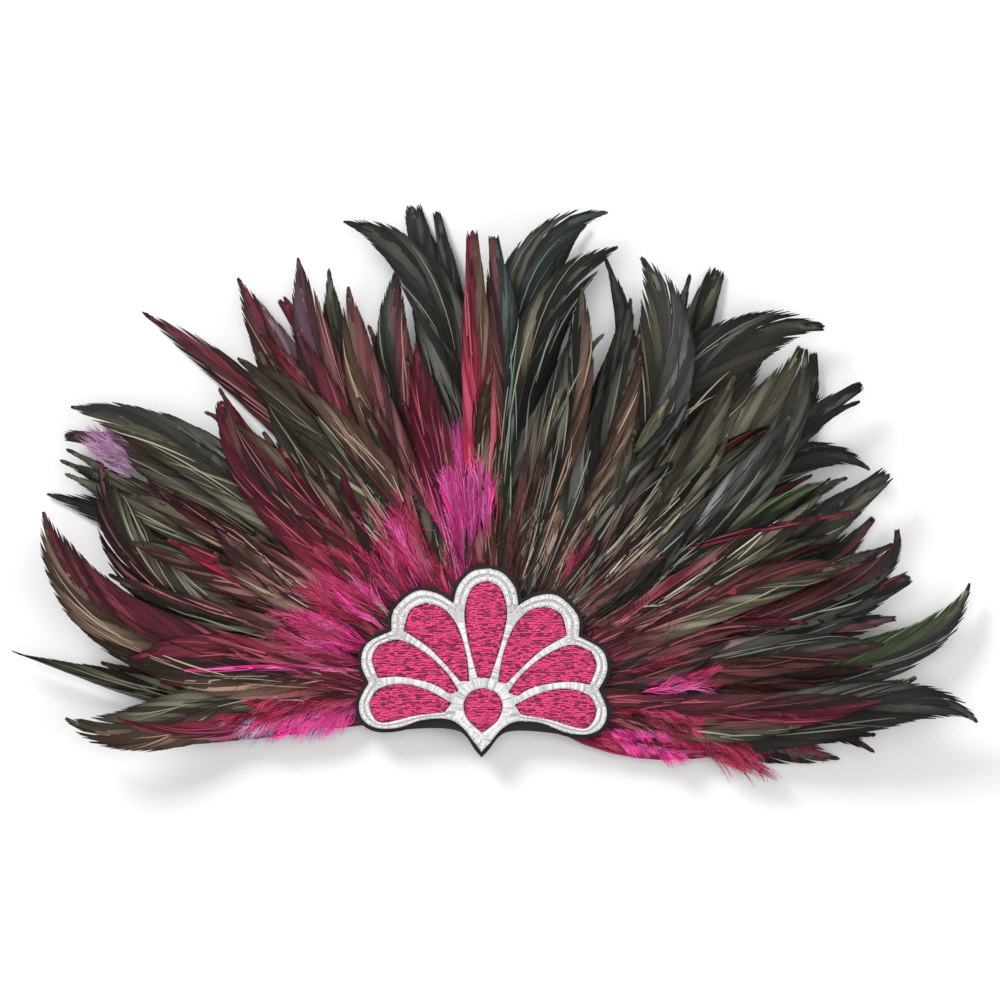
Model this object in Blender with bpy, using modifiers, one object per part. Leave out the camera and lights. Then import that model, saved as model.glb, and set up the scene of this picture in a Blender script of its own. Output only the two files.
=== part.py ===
"""A carnival feather headdress lying on its back: rows of cock feathers sewn in a half fan behind an embroidered patch.

Metres. +X is to the right and +Y up when the headdress is worn, and +Z is forward, away from the forehead.
The origin is the middle of the comb's spine on its flat back, which lies on the table.
"""
import math
from collections import namedtuple

import bmesh
import bpy
from mathutils import Vector
from mathutils.geometry import interpolate_bezier

# Sizes of the whole
FAN_REACH = 0.200
FAN_DROP = 0.024
PIECE_GAP = 0.0003

# Comb
COMB_WIDTH = 0.070
COMB_THICK = 0.0024
SPINE_HEIGHT = 0.010
TOOTH_LENGTH = 0.026
TOOTH_COUNT = 13
TOOTH_WIDTH = 0.0030
TOOTH_TIP = 0.0012

# Feather rows
BAND_INNER = 0.010
BAND_OUTER = 0.036
BAND_THICK = 0.0012
BAND_HALF_ANGLE = 106
BAND_STEPS = 24
ROOT_RADIUS = 0.016
BLADE_WIDTH = 0.019
BLADE_THICK = 0.0008
BLADE_DROOP = 0.0012
QUILL_WIDTH = 0.0024
TIP_WIDTH = 0.0006
BLUNT_FROM_SHARE = 0.75
BLUNT_TAPER_SHARE = 0.6
BLADE_STEPS = 7
FLAT_RADIUS = 0.064

# Down collar round the patch
DOWN_INNER = 0.030
DOWN_THICK = 0.0014
DOWN_FLAT_RADIUS = 0.056
DOWN_SLOPE = 0.36
DOWN_SCALLOP = 0.0035
DOWN_LOBES = 17
DOWN_STEPS_PER_LOBE = 4

# Embroidered patch
PATCH_WIDTH = 0.100
PATCH_TILT = -1.7
PATCH_SHIFT = (-0.0004, -0.0016)
BASE_THICK = 0.0016
BORDER_THICK = 0.0012
PETAL_THICK = 0.0008
EDGE_WIDTH = 0.0018
CURVE_STEPS = 4
SHARPEST_MITRE = 0.5
KEPT_OFFSET = 0.9

# One feather: the row it is sewn in, the way it leaves the band, the reach and direction of its tip from the middle of the fan,
# the way it points at the tip, the length of the bend there, its width, and how blunt its end is.
# Angles are degrees clockwise from straight up. Reach and bend are shares of the fan's reach, width of the blade's width.
Feather = namedtuple("Feather", "row leave reach toward arrive bend width blunt")
FEATHERS = (
    Feather(1, -88, 0.77, -84, -66, 0.25, 0.60, 0.0),
    Feather(1, -60, 0.97, -64.5, -74, 0.30, 0.90, 0.0),
    Feather(1, -30, 1.04, -41.2, -57, 0.40, 0.75, 0.0),
    Feather(1, -21, 0.90, -26.6, -34, 0.25, 0.90, 0.6),
    Feather(1, -13, 0.79, -17.0, -22, 0.25, 0.45, 0.0),
    Feather(1, -3, 1.00, -8.2, -14, 0.35, 1.15, 0.8),
    Feather(1, 8, 0.98, 12.0, 50, 0.20, 0.60, 0.0),
    Feather(1, 31, 0.98, 28.4, 20, 0.30, 1.05, 0.85),
    Feather(1, 44, 0.96, 43.5, -5, 0.22, 0.85, 0.5),
    Feather(1, 54, 0.88, 54.5, 78, 0.22, 0.60, 0.0),
    Feather(1, 68, 0.86, 64.8, 40, 0.25, 0.85, 0.4),
    Feather(1, 97, 0.72, 99.0, 100, 0.30, 0.80, 0.0),
    Feather(2, -98, 0.95, -83.7, -70, 0.25, 0.75, 0.0),
    Feather(2, -70, 0.70, -73.0, -60, 0.25, 0.90, 0.0),
    Feather(2, -52, 0.99, -57.3, -85, 0.25, 0.95, 0.6),
    Feather(2, -37, 0.98, -30.1, -26, 0.30, 1.00, 0.0),
    Feather(2, -25, 0.92, -19.7, -3, 0.30, 0.65, 0.0),
    Feather(2, -11, 0.89, -11.2, 10, 0.30, 0.90, 0.0),
    Feather(2, 27, 0.92, 15.3, -24, 0.30, 0.50, 0.0),
    Feather(2, 50, 0.90, 58.7, 132, 0.20, 0.85, 0.0),
    Feather(2, 88, 1.00, 76.3, 14, 0.20, 1.05, 0.0),
    Feather(2, 40, 0.95, 41.8, 22, 0.25, 1.30, 0.3),
    Feather(3, -78, 0.90, -58.0, -8, 0.32, 1.30, 0.0),
    Feather(3, -40, 0.83, -32.5, -22, 0.30, 0.95, 0.0),
    Feather(3, -28, 0.96, -22.7, -8, 0.30, 0.95, 0.1),
    Feather(3, -1, 1.00, -16.1, -80, 0.26, 1.10, 0.0),
    Feather(3, 5, 1.01, 14.0, 84, 0.28, 1.10, 0.0),
    Feather(3, 30, 1.01, 41.9, 98, 0.26, 1.50, 0.3),
    Feather(3, 48, 0.98, 49.8, 58, 0.28, 0.90, 0.6),
    Feather(3, 63, 0.92, 60.4, 50, 0.28, 1.05, 0.8),
    Feather(3, 75, 0.88, 73.5, 62, 0.26, 0.95, 0.7),
    Feather(3, 90, 0.86, 86.6, 60, 0.25, 1.00, 0.2),
    Feather(3, -31, 0.91, -29.2, -28, 0.25, 0.80, 0.0),
    Feather(4, -70, 0.83, -92.0, -55, 0.18, 1.20, 0.0),
    Feather(4, -46, 1.01, -54.2, -82, 0.26, 1.10, 0.0),
    Feather(4, -32, 0.83, -26.6, -20, 0.30, 0.95, 0.0),
    Feather(4, -14, 0.87, -18.0, -4, 0.30, 0.85, 0.0),
    Feather(4, 7, 0.945, 16.2, 68, 0.24, 1.10, 0.0),
    Feather(4, 38, 0.94, 19.5, -38, 0.22, 1.50, 0.0),
    Feather(4, 52, 0.95, 42.4, 2, 0.28, 0.85, 0.2),
    Feather(4, 74, 0.89, 67.3, -15, 0.14, 0.85, 0.3),
    Feather(4, 112, 0.98, 92.0, 142, 0.17, 1.15, 0.0),
    Feather(4, 5, 0.925, 1.2, -8, 0.30, 0.90, 0.6),
    Feather(5, -82, 0.95, -66.5, -14, 0.33, 1.35, 0.1),
    Feather(5, -58, 0.65, -56.0, -40, 0.25, 0.90, 0.0),
    Feather(5, -44, 0.79, -41.1, -8, 0.20, 0.85, 0.8),
    Feather(5, -16, 0.84, -35.3, -52, 0.26, 1.10, 0.0),
    Feather(5, -8, 0.73, -10.6, -6, 0.25, 0.75, 0.0),
    Feather(5, -1, 0.93, -1.4, -3, 0.30, 1.00, 0.8),
    Feather(5, 19, 0.85, 13.2, 0, 0.28, 0.75, 0.0),
    Feather(5, 27, 0.80, 22.7, 14, 0.28, 0.90, 0.0),
    Feather(5, 42, 0.82, 37.3, 25, 0.28, 0.90, 0.0),
    Feather(5, 52, 0.84, 46.5, 30, 0.28, 0.80, 0.0),
    Feather(5, 61, 0.79, 58.0, 45, 0.22, 0.60, 0.0),
    Feather(5, 67, 0.78, 69.0, 80, 0.25, 0.85, 0.0),
    Feather(5, 80, 0.80, 81.4, 85, 0.25, 0.85, 0.0),
    Feather(5, 93, 0.79, 89.3, 80, 0.25, 0.75, 0.0),
)

# Height of each row's feathers at half and at full reach, from the table up.
Row = namedtuple("Row", "half full")
ROWS = {
    1: Row(0.0060, 0.0020),
    2: Row(0.0110, 0.0090),
    3: Row(0.0160, 0.0165),
    4: Row(0.0210, 0.0245),
    5: Row(0.0260, 0.0330),
}

# The blade's half width along its length, as shares of the length and of half the blade's width.
Station = namedtuple("Station", "along wide")
BLADE_STATIONS = (
    Station(0.00, 0.0),
    Station(0.16, 0.30),
    Station(0.32, 0.72),
    Station(0.48, 0.96),
    Station(0.64, 1.00),
    Station(0.80, 0.86),
    Station(0.92, 0.50),
    Station(1.00, 0.04),
)

# How far the down reaches round the fan: angle and share of the fan's reach.
Lobe = namedtuple("Lobe", "angle reach")
DOWN_REACH = (
    Lobe(-101, 0.44),
    Lobe(-92, 0.50),
    Lobe(-84, 0.36),
    Lobe(-60, 0.37),
    Lobe(-30, 0.40),
    Lobe(-8, 0.46),
    Lobe(6, 0.38),
    Lobe(40, 0.35),
    Lobe(84, 0.35),
    Lobe(92, 0.50),
    Lobe(101, 0.44),
)

# Outlines of the left half of the patch, from the middle of the drop, as shares of the patch's width.
# Each run between two corners is a smooth curve through its points.
Point = namedtuple("Point", "x y")
CENTRE_PETAL = (
    (Point(-0.022, 0.118), Point(-0.062, 0.250), Point(-0.083, 0.380), Point(-0.055, 0.475), Point(0.0, 0.504)),
)
SIDE_PETALS = (
    (
        (Point(-0.130, 0.012), Point(-0.230, 0.062), Point(-0.330, 0.082), Point(-0.420, 0.058), Point(-0.453, 0.004)),
        (Point(-0.453, 0.004), Point(-0.440, -0.042), Point(-0.398, -0.072), Point(-0.270, -0.040), Point(-0.130, -0.020)),
    ),
    (
        (Point(-0.102, 0.064), Point(-0.152, 0.134), Point(-0.240, 0.210), Point(-0.345, 0.258), Point(-0.425, 0.232)),
        (Point(-0.425, 0.232), Point(-0.447, 0.180), Point(-0.422, 0.106)),
        (Point(-0.422, 0.106), Point(-0.330, 0.114), Point(-0.200, 0.088), Point(-0.122, 0.042)),
    ),
    (
        (Point(-0.060, 0.104), Point(-0.075, 0.210), Point(-0.116, 0.325), Point(-0.175, 0.390), Point(-0.240, 0.408)),
        (Point(-0.240, 0.408), Point(-0.300, 0.378), Point(-0.324, 0.298)),
        (Point(-0.324, 0.298), Point(-0.226, 0.236), Point(-0.150, 0.164), Point(-0.080, 0.088)),
    ),
)
DROP = (
    (Point(0.0, -0.100), Point(-0.056, -0.052), Point(-0.076, 0.006), Point(-0.052, 0.056), Point(0.0, 0.076)),
)
BORDER_EDGE = (
    (Point(0.0, -0.176), Point(-0.036, -0.132), Point(-0.080, -0.080), Point(-0.140, -0.050), Point(-0.240, -0.056),
     Point(-0.330, -0.088), Point(-0.420, -0.094), Point(-0.478, -0.062), Point(-0.493, 0.004), Point(-0.457, 0.084)),
    (Point(-0.457, 0.084), Point(-0.490, 0.160), Point(-0.468, 0.240), Point(-0.372, 0.292)),
    (Point(-0.372, 0.292), Point(-0.366, 0.376), Point(-0.285, 0.452), Point(-0.200, 0.448), Point(-0.128, 0.408)),
    (Point(-0.128, 0.408), Point(-0.112, 0.480), Point(-0.060, 0.538), Point(0.0, 0.552)),
)
BASE_BOTTOM = (
    (Point(0.0, -0.202), Point(-0.030, -0.168), Point(-0.066, -0.118), Point(-0.110, -0.094), Point(-0.200, -0.090),
     Point(-0.320, -0.100)),
)

PARTS = "feather_headdress"


def clear_scene():
    for found in list(bpy.data.objects):
        bpy.data.objects.remove(found)


def new_collection(name, hidden=False):
    made = bpy.data.collections.new(name)
    made.hide_render = hidden
    bpy.context.scene.collection.children.link(made)
    return made


def material(name, colour, roughness, metallic=0.0):
    made = bpy.data.materials.new(name)
    made.use_nodes = True
    shader = made.node_tree.nodes["Principled BSDF"]
    shader.inputs["Base Color"].default_value = (*colour, 1.0)
    shader.inputs["Roughness"].default_value = roughness
    shader.inputs["Metallic"].default_value = metallic
    return made


def heading(angle):
    """The unit vector that points this many degrees clockwise from straight up."""
    turned = math.radians(angle)
    return Vector((math.sin(turned), math.cos(turned)))


def fan_centre():
    return Vector((0.0, -FAN_DROP))


def band_height(row):
    """The middle of a row's band above the table."""
    return COMB_THICK + PIECE_GAP + BAND_THICK / 2 + (row - 1) * (BAND_THICK + PIECE_GAP)


def rise_share(radius):
    """The share of the way from the edge of the flat middle to the fan's reach."""
    return max(0.0, (radius - FLAT_RADIUS) / (FAN_REACH - FLAT_RADIUS))


def row_height(row, radius):
    """The height of a row's feathers, which lie flat under the patch and arch outside it."""
    start = band_height(row)
    share = rise_share(radius)
    to_half, to_full = ROWS[row].half - start, ROWS[row].full - start
    bend = 8 * to_half - to_full
    return start + bend * share ** 2 + (to_full - bend) * share ** 3


def spine_points(feather, steps):
    """Points along a feather's shaft in plan, from the middle of the fan, as shares of the way from 0 to 1."""
    root = heading(feather.leave) * ROOT_RADIUS
    tip = heading(feather.toward) * FAN_REACH * feather.reach
    length = (tip - root).length
    leaving = root + heading(feather.leave) * length * 0.40
    arriving = tip - heading(feather.arrive) * FAN_REACH * feather.bend
    points = []
    for index in range(steps + 1):
        t = index / steps
        weights = ((1 - t) ** 3, 3 * t * (1 - t) ** 2, 3 * t * t * (1 - t), t ** 3)
        points.append(sum((w * p for w, p in zip(weights, (root, leaving, arriving, tip))), Vector((0.0, 0.0))))
    return points


def half_width(feather, along):
    """Half the blade's width this share of the way along, between the quill and the tip."""
    before = max((s for s in BLADE_STATIONS if s.along <= along), key=lambda s: s.along)
    after = min((s for s in BLADE_STATIONS if s.along >= along), key=lambda s: s.along)
    step = after.along - before.along
    share = (along - before.along) / step if step else 0.0
    wide = before.wide + (after.wide - before.wide) * share
    if along > BLUNT_FROM_SHARE:
        taper = BLUNT_TAPER_SHARE * (along - BLUNT_FROM_SHARE) / (1.0 - BLUNT_FROM_SHARE)
        wide = max(wide, feather.blunt * (1.0 - taper))
    narrowest = QUILL_WIDTH if along < 0.5 else TIP_WIDTH
    return max(narrowest, wide * feather.width * BLADE_WIDTH) / 2


def add_blade(mesh, feather):
    """One feather's vane as an open strip, folded a little along its shaft."""
    spine = spine_points(feather, BLADE_STEPS)
    rails = []
    for index, point in enumerate(spine):
        ahead = spine[min(index + 1, BLADE_STEPS)] - spine[max(index - 1, 0)]
        side = Vector((ahead.y, -ahead.x)).normalized()
        wide = half_width(feather, index / BLADE_STEPS)
        height = row_height(feather.row, point.length)
        droop = BLADE_DROOP * min(1.0, 2 * wide / BLADE_WIDTH) * min(1.0, 2 * rise_share(point.length))
        middle = point + fan_centre()
        rails.append([
            mesh.verts.new((*(middle - side * wide), height - droop)),
            mesh.verts.new((*middle, height)),
            mesh.verts.new((*(middle + side * wide), height - droop)),
        ])
    for lower, upper in zip(rails, rails[1:]):
        for side in range(2):
            mesh.faces.new((lower[side], lower[side + 1], upper[side + 1], upper[side]))


def object_of(mesh, name, collection, look=None):
    data = bpy.data.meshes.new(name)
    bmesh.ops.recalc_face_normals(mesh, faces=mesh.faces)
    mesh.to_mesh(data)
    mesh.free()
    made = bpy.data.objects.new(name, data)
    collection.objects.link(made)
    if look:
        data.materials.append(look)
    return made


def solidify(thing, thick):
    """Gives an open surface its thickness, half on each side."""
    shell = thing.modifiers.new("thickness", "SOLIDIFY")
    shell.thickness = thick
    shell.offset = 0.0
    return shell


def solid_mesh(thing):
    """The thing as its modifiers leave it, as a plain mesh in place of the old one."""
    bpy.context.view_layer.update()
    graph = bpy.context.evaluated_depsgraph_get()
    thing.data = bpy.data.meshes.new_from_object(thing.evaluated_get(graph))
    thing.modifiers.clear()


def polar_sheet(radii, half_angle, steps, height):
    """An open sector round the middle of the fan, with rings at the radii of each angle and a height for each radius."""
    mesh = bmesh.new()
    rails = []
    for step in range(steps + 1):
        angle = -half_angle + 2 * half_angle * step / steps
        rails.append([mesh.verts.new((*(heading(angle) * radius + fan_centre()), height(radius)))
                      for radius in radii(angle)])
    for left, right in zip(rails, rails[1:]):
        for ring in range(len(left) - 1):
            mesh.faces.new((left[ring], left[ring + 1], right[ring + 1], right[ring]))
    return mesh


def feather_row(row, parts, cutters, look):
    """A row's sewn band with its feathers grown from it as one solid."""
    name = f"feather_row_{row}"
    sheet = polar_sheet(lambda angle: (BAND_INNER, BAND_OUTER), BAND_HALF_ANGLE, BAND_STEPS,
                        lambda radius: band_height(row))
    band = object_of(sheet, name, parts, look)
    solidify(band, BAND_THICK)
    strips = bmesh.new()
    for feather in FEATHERS:
        if feather.row == row:
            add_blade(strips, feather)
    blades = object_of(strips, name + "_blades", cutters)
    solidify(blades, BLADE_THICK)
    solid_mesh(blades)
    blades.hide_render = True
    blades.display_type = "WIRE"
    joined = band.modifiers.new("sewn_feathers", "BOOLEAN")
    joined.operation = "UNION"
    joined.use_self = True
    joined.object = blades
    return band


def down_reach(angle):
    """How far the down reaches in this direction, scalloped into locks."""
    before = max((lobe for lobe in DOWN_REACH if lobe.angle <= angle), key=lambda lobe: lobe.angle)
    after = min((lobe for lobe in DOWN_REACH if lobe.angle >= angle), key=lambda lobe: lobe.angle)
    step = after.angle - before.angle
    share = (angle - before.angle) / step if step else 0.0
    smooth = share * share * (3 - 2 * share)
    reach = FAN_REACH * (before.reach + (after.reach - before.reach) * smooth)
    half_angle = DOWN_REACH[-1].angle
    lobe = (angle + half_angle) / (2 * half_angle) * DOWN_LOBES
    return reach - DOWN_SCALLOP * (2 * abs(lobe % 1.0 - 0.5)) ** 2


def down_height(radius):
    """The down lies flat on the front row under the patch and stands up over the feathers outside it."""
    flat = band_height(max(ROWS)) + BAND_THICK / 2 + PIECE_GAP + DOWN_THICK / 2
    return flat + DOWN_SLOPE * max(0.0, radius - DOWN_FLAT_RADIUS)


def down_collar(parts, look):
    steps = DOWN_LOBES * DOWN_STEPS_PER_LOBE
    sheet = polar_sheet(lambda angle: (DOWN_INNER, DOWN_FLAT_RADIUS, down_reach(angle)), DOWN_REACH[-1].angle,
                        steps, down_height)
    collar = object_of(sheet, "down_collar", parts, look)
    solidify(collar, DOWN_THICK)
    return collar


def smooth_run(points):
    """Points along a smooth curve through the given ones, without the last."""
    found = []
    for index in range(len(points) - 1):
        before = points[max(index - 1, 0)]
        start, end = points[index], points[index + 1]
        after = points[min(index + 2, len(points) - 1)]
        leaving = start + (end - before) / 6
        arriving = end - (after - start) / 6
        found += interpolate_bezier(start, leaving, arriving, end, CURVE_STEPS + 1)[:-1]
    return found


def outline(runs, mirrored):
    """A closed outline from its runs. A mirrored one is the left half of a shape, from its foot to its head."""
    scaled = [[Vector((p.x, p.y, 0.0)) * PATCH_WIDTH for p in run] for run in runs]
    found = [point for run in scaled for point in smooth_run(run)]
    if mirrored:
        found.append(scaled[-1][-1])
        inner = found[1:-1] if abs(found[0].x) < 1e-9 else found[:-1]
        found += [Vector((-p.x, p.y, 0.0)) for p in reversed(inner)]
    return [Vector((p.x, p.y)) for p in found]


def area_of(points):
    return sum(a.cross(b) for a, b in zip(points, points[1:] + points[:1])) / 2


def off_edge(point, start, end):
    """How far a point is from a straight edge."""
    along = end - start
    share = min(1.0, max(0.0, (point - start).dot(along) / along.length_squared))
    return (point - start - along * share).length


def grown(points, distance):
    """The outline moved outwards by this distance, with its corners mitred and its inner corners left clean."""
    turn = 1.0 if area_of(points) > 0 else -1.0
    found = []
    for index, point in enumerate(points):
        back = (point - points[index - 1]).normalized()
        forward = (points[(index + 1) % len(points)] - point).normalized()
        along = (back + forward).normalized()
        normal = Vector((along.y, -along.x)) * turn
        moved = point + normal * distance / max(SHARPEST_MITRE, abs(along.dot(forward)))
        if min(off_edge(moved, a, b) for a, b in zip(points, points[1:] + points[:1])) > KEPT_OFFSET * distance:
            found.append(moved)
    return found


def flipped(points):
    return [Vector((-p.x, p.y)) for p in reversed(points)]


def flat_piece(name, outlines, bottom, thick, parts, look):
    """A flat outline with any holes, as a plate of this thickness."""
    curve = bpy.data.curves.new(name, "CURVE")
    curve.dimensions = "2D"
    curve.fill_mode = "BOTH"
    curve.extrude = thick / 2
    for points in outlines:
        spline = curve.splines.new("POLY")
        spline.points.add(len(points) - 1)
        for point, place in zip(spline.points, points):
            point.co = (place.x, place.y, 0.0, 1.0)
        spline.use_cyclic_u = True
    curve.materials.append(look)
    made = bpy.data.objects.new(name, curve)
    parts.objects.link(made)
    made.location.z = bottom + thick / 2
    return made


def place_on_patch(thing):
    """Moves a piece of the patch to the middle of its drop, turned as the patch is sewn."""
    thing.location.x = PATCH_SHIFT[0]
    thing.location.y = PATCH_SHIFT[1] - FAN_DROP
    thing.rotation_euler.z = math.radians(PATCH_TILT)


def base_outline(border):
    """The twill base: a margin round the embroidery, cut straighter across its foot."""
    around = grown(border, EDGE_WIDTH)
    foot = outline(BASE_BOTTOM, False)
    right_foot = flipped(foot)[:-1]
    left_end, right_end = foot[-1], right_foot[0]
    rest = [p for p in around if p.x < left_end.x or p.x > right_end.x or p.y > 0.0]
    start = min(range(len(rest)), key=lambda i: (rest[i] - left_end).length)
    return foot + rest[start:] + rest[:start] + right_foot


def patch(parts, looks):
    bottom = band_height(max(ROWS)) + BAND_THICK / 2 + 2 * PIECE_GAP + DOWN_THICK
    top = bottom + BASE_THICK + PIECE_GAP
    border = outline(BORDER_EDGE, True)
    base = flat_piece("patch_base", [base_outline(border)], bottom, BASE_THICK, parts, looks["twill"])
    left = [outline(runs, False) for runs in SIDE_PETALS]
    centre = outline(CENTRE_PETAL, True)
    petals = left + [centre] + [flipped(points) for points in reversed(left)]
    drop = outline(DROP, True)
    holes = [grown(points, PIECE_GAP) for points in petals + [drop]]
    trim = flat_piece("silver_border", [border] + holes, top, BORDER_THICK, parts, looks["silver"])
    made = [base, trim]
    for number, points in enumerate(petals, 1):
        made.append(flat_piece(f"petal_{number}", [points], top, PETAL_THICK, parts, looks["satin"]))
    made.append(flat_piece("centre_drop", [drop], top, PETAL_THICK, parts, looks["satin"]))
    for thing in made:
        place_on_patch(thing)


def comb(parts, look):
    """A plain comb, flat on its back: a spine with tapered teeth that point down."""
    pitch = COMB_WIDTH / TOOTH_COUNT
    half = COMB_WIDTH / 2
    points = [Vector((-half, SPINE_HEIGHT / 2)), Vector((-half, -SPINE_HEIGHT / 2))]
    for tooth in range(TOOTH_COUNT):
        middle = -half + pitch * (tooth + 0.5)
        foot, end = -SPINE_HEIGHT / 2, -SPINE_HEIGHT / 2 - TOOTH_LENGTH
        points += [
            Vector((middle - TOOTH_WIDTH / 2, foot)),
            Vector((middle - TOOTH_TIP / 2, end)),
            Vector((middle + TOOTH_TIP / 2, end)),
            Vector((middle + TOOTH_WIDTH / 2, foot)),
        ]
    points += [Vector((half, -SPINE_HEIGHT / 2)), Vector((half, SPINE_HEIGHT / 2))]
    return flat_piece("hair_comb", [points], 0.0, COMB_THICK, parts, look)


def main():
    clear_scene()
    parts = new_collection(PARTS)
    cutters = new_collection("feather_strips", hidden=True)
    looks = {
        "comb": material("black_comb", (0.012, 0.012, 0.013), 0.35),
        "feather": material("bronze_black_feather", (0.075, 0.045, 0.045), 0.5),
        "down": material("magenta_down", (0.60, 0.05, 0.25), 0.8),
        "twill": material("black_twill", (0.015, 0.014, 0.014), 0.85),
        "silver": material("silver_thread", (0.75, 0.75, 0.73), 0.35, 0.8),
        "satin": material("magenta_thread", (0.52, 0.04, 0.14), 0.5),
    }
    comb(parts, looks["comb"])
    for row in ROWS:
        feather_row(row, parts, cutters, looks["feather"])
    down_collar(parts, looks["down"])
    patch(parts, looks)


main()
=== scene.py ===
import math
from collections import namedtuple

import bmesh
import bpy
import numpy as np
from bpy.props import FloatProperty, FloatVectorProperty, IntProperty, PointerProperty
from bpy.types import Operator, Panel, PropertyGroup
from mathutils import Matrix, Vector


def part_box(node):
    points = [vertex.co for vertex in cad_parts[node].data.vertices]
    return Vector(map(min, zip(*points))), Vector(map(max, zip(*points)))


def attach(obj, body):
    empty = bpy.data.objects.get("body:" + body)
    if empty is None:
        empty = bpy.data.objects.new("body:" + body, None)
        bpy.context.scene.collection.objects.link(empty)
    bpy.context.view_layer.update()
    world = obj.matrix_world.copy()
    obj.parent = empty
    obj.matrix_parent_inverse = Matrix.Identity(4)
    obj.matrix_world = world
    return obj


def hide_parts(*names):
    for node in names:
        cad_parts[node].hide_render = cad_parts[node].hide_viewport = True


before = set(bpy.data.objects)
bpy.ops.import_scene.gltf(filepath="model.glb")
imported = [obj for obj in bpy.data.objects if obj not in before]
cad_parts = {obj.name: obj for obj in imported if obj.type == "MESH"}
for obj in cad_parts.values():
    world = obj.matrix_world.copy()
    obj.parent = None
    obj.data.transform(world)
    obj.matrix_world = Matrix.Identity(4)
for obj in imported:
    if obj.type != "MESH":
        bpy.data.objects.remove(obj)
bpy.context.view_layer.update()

bl_info = {
    "name": "Feather headdress",
    "version": (1, 0, 0),
    "blender": (4, 5, 0),
    "location": "View3D > Sidebar > Headdress",
    "description": "Dresses the headdress with feathers, down, embroidery and a comb",
    "category": "Object",
}

BODY = "root"

# The fan, as the solids have it
FAN_REACH = 0.200
FAN_DROP = 0.024
ROOT_RADIUS = 0.016
FLAT_RADIUS = 0.064
COMB_THICK = 0.0024
PIECE_GAP = 0.0003
BAND_THICK = 0.0012
BAND_INNER = 0.010
BAND_OUTER = 0.036
BAND_HALF_ANGLE = 106

# The least height of a strand over the floor, the digits that tell two points of a solid apart, and how much the
# heights of a level edge may differ
FLOOR_CLEARANCE = 0.0004
SAME_POINT = 6
LEVEL = 1e-5

# Seeds of the random draws
FILLER_SEED = 1000
DOWN_SEED = 77
BORDER_SEED = 5
PETAL_SEED = 9

# Height of each row's feathers at half and at full reach
Row = namedtuple("Row", "half full")
ROWS = {
    1: Row(0.0060, 0.0020),
    2: Row(0.0110, 0.0090),
    3: Row(0.0160, 0.0165),
    4: Row(0.0210, 0.0245),
    5: Row(0.0260, 0.0330),
}

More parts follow.
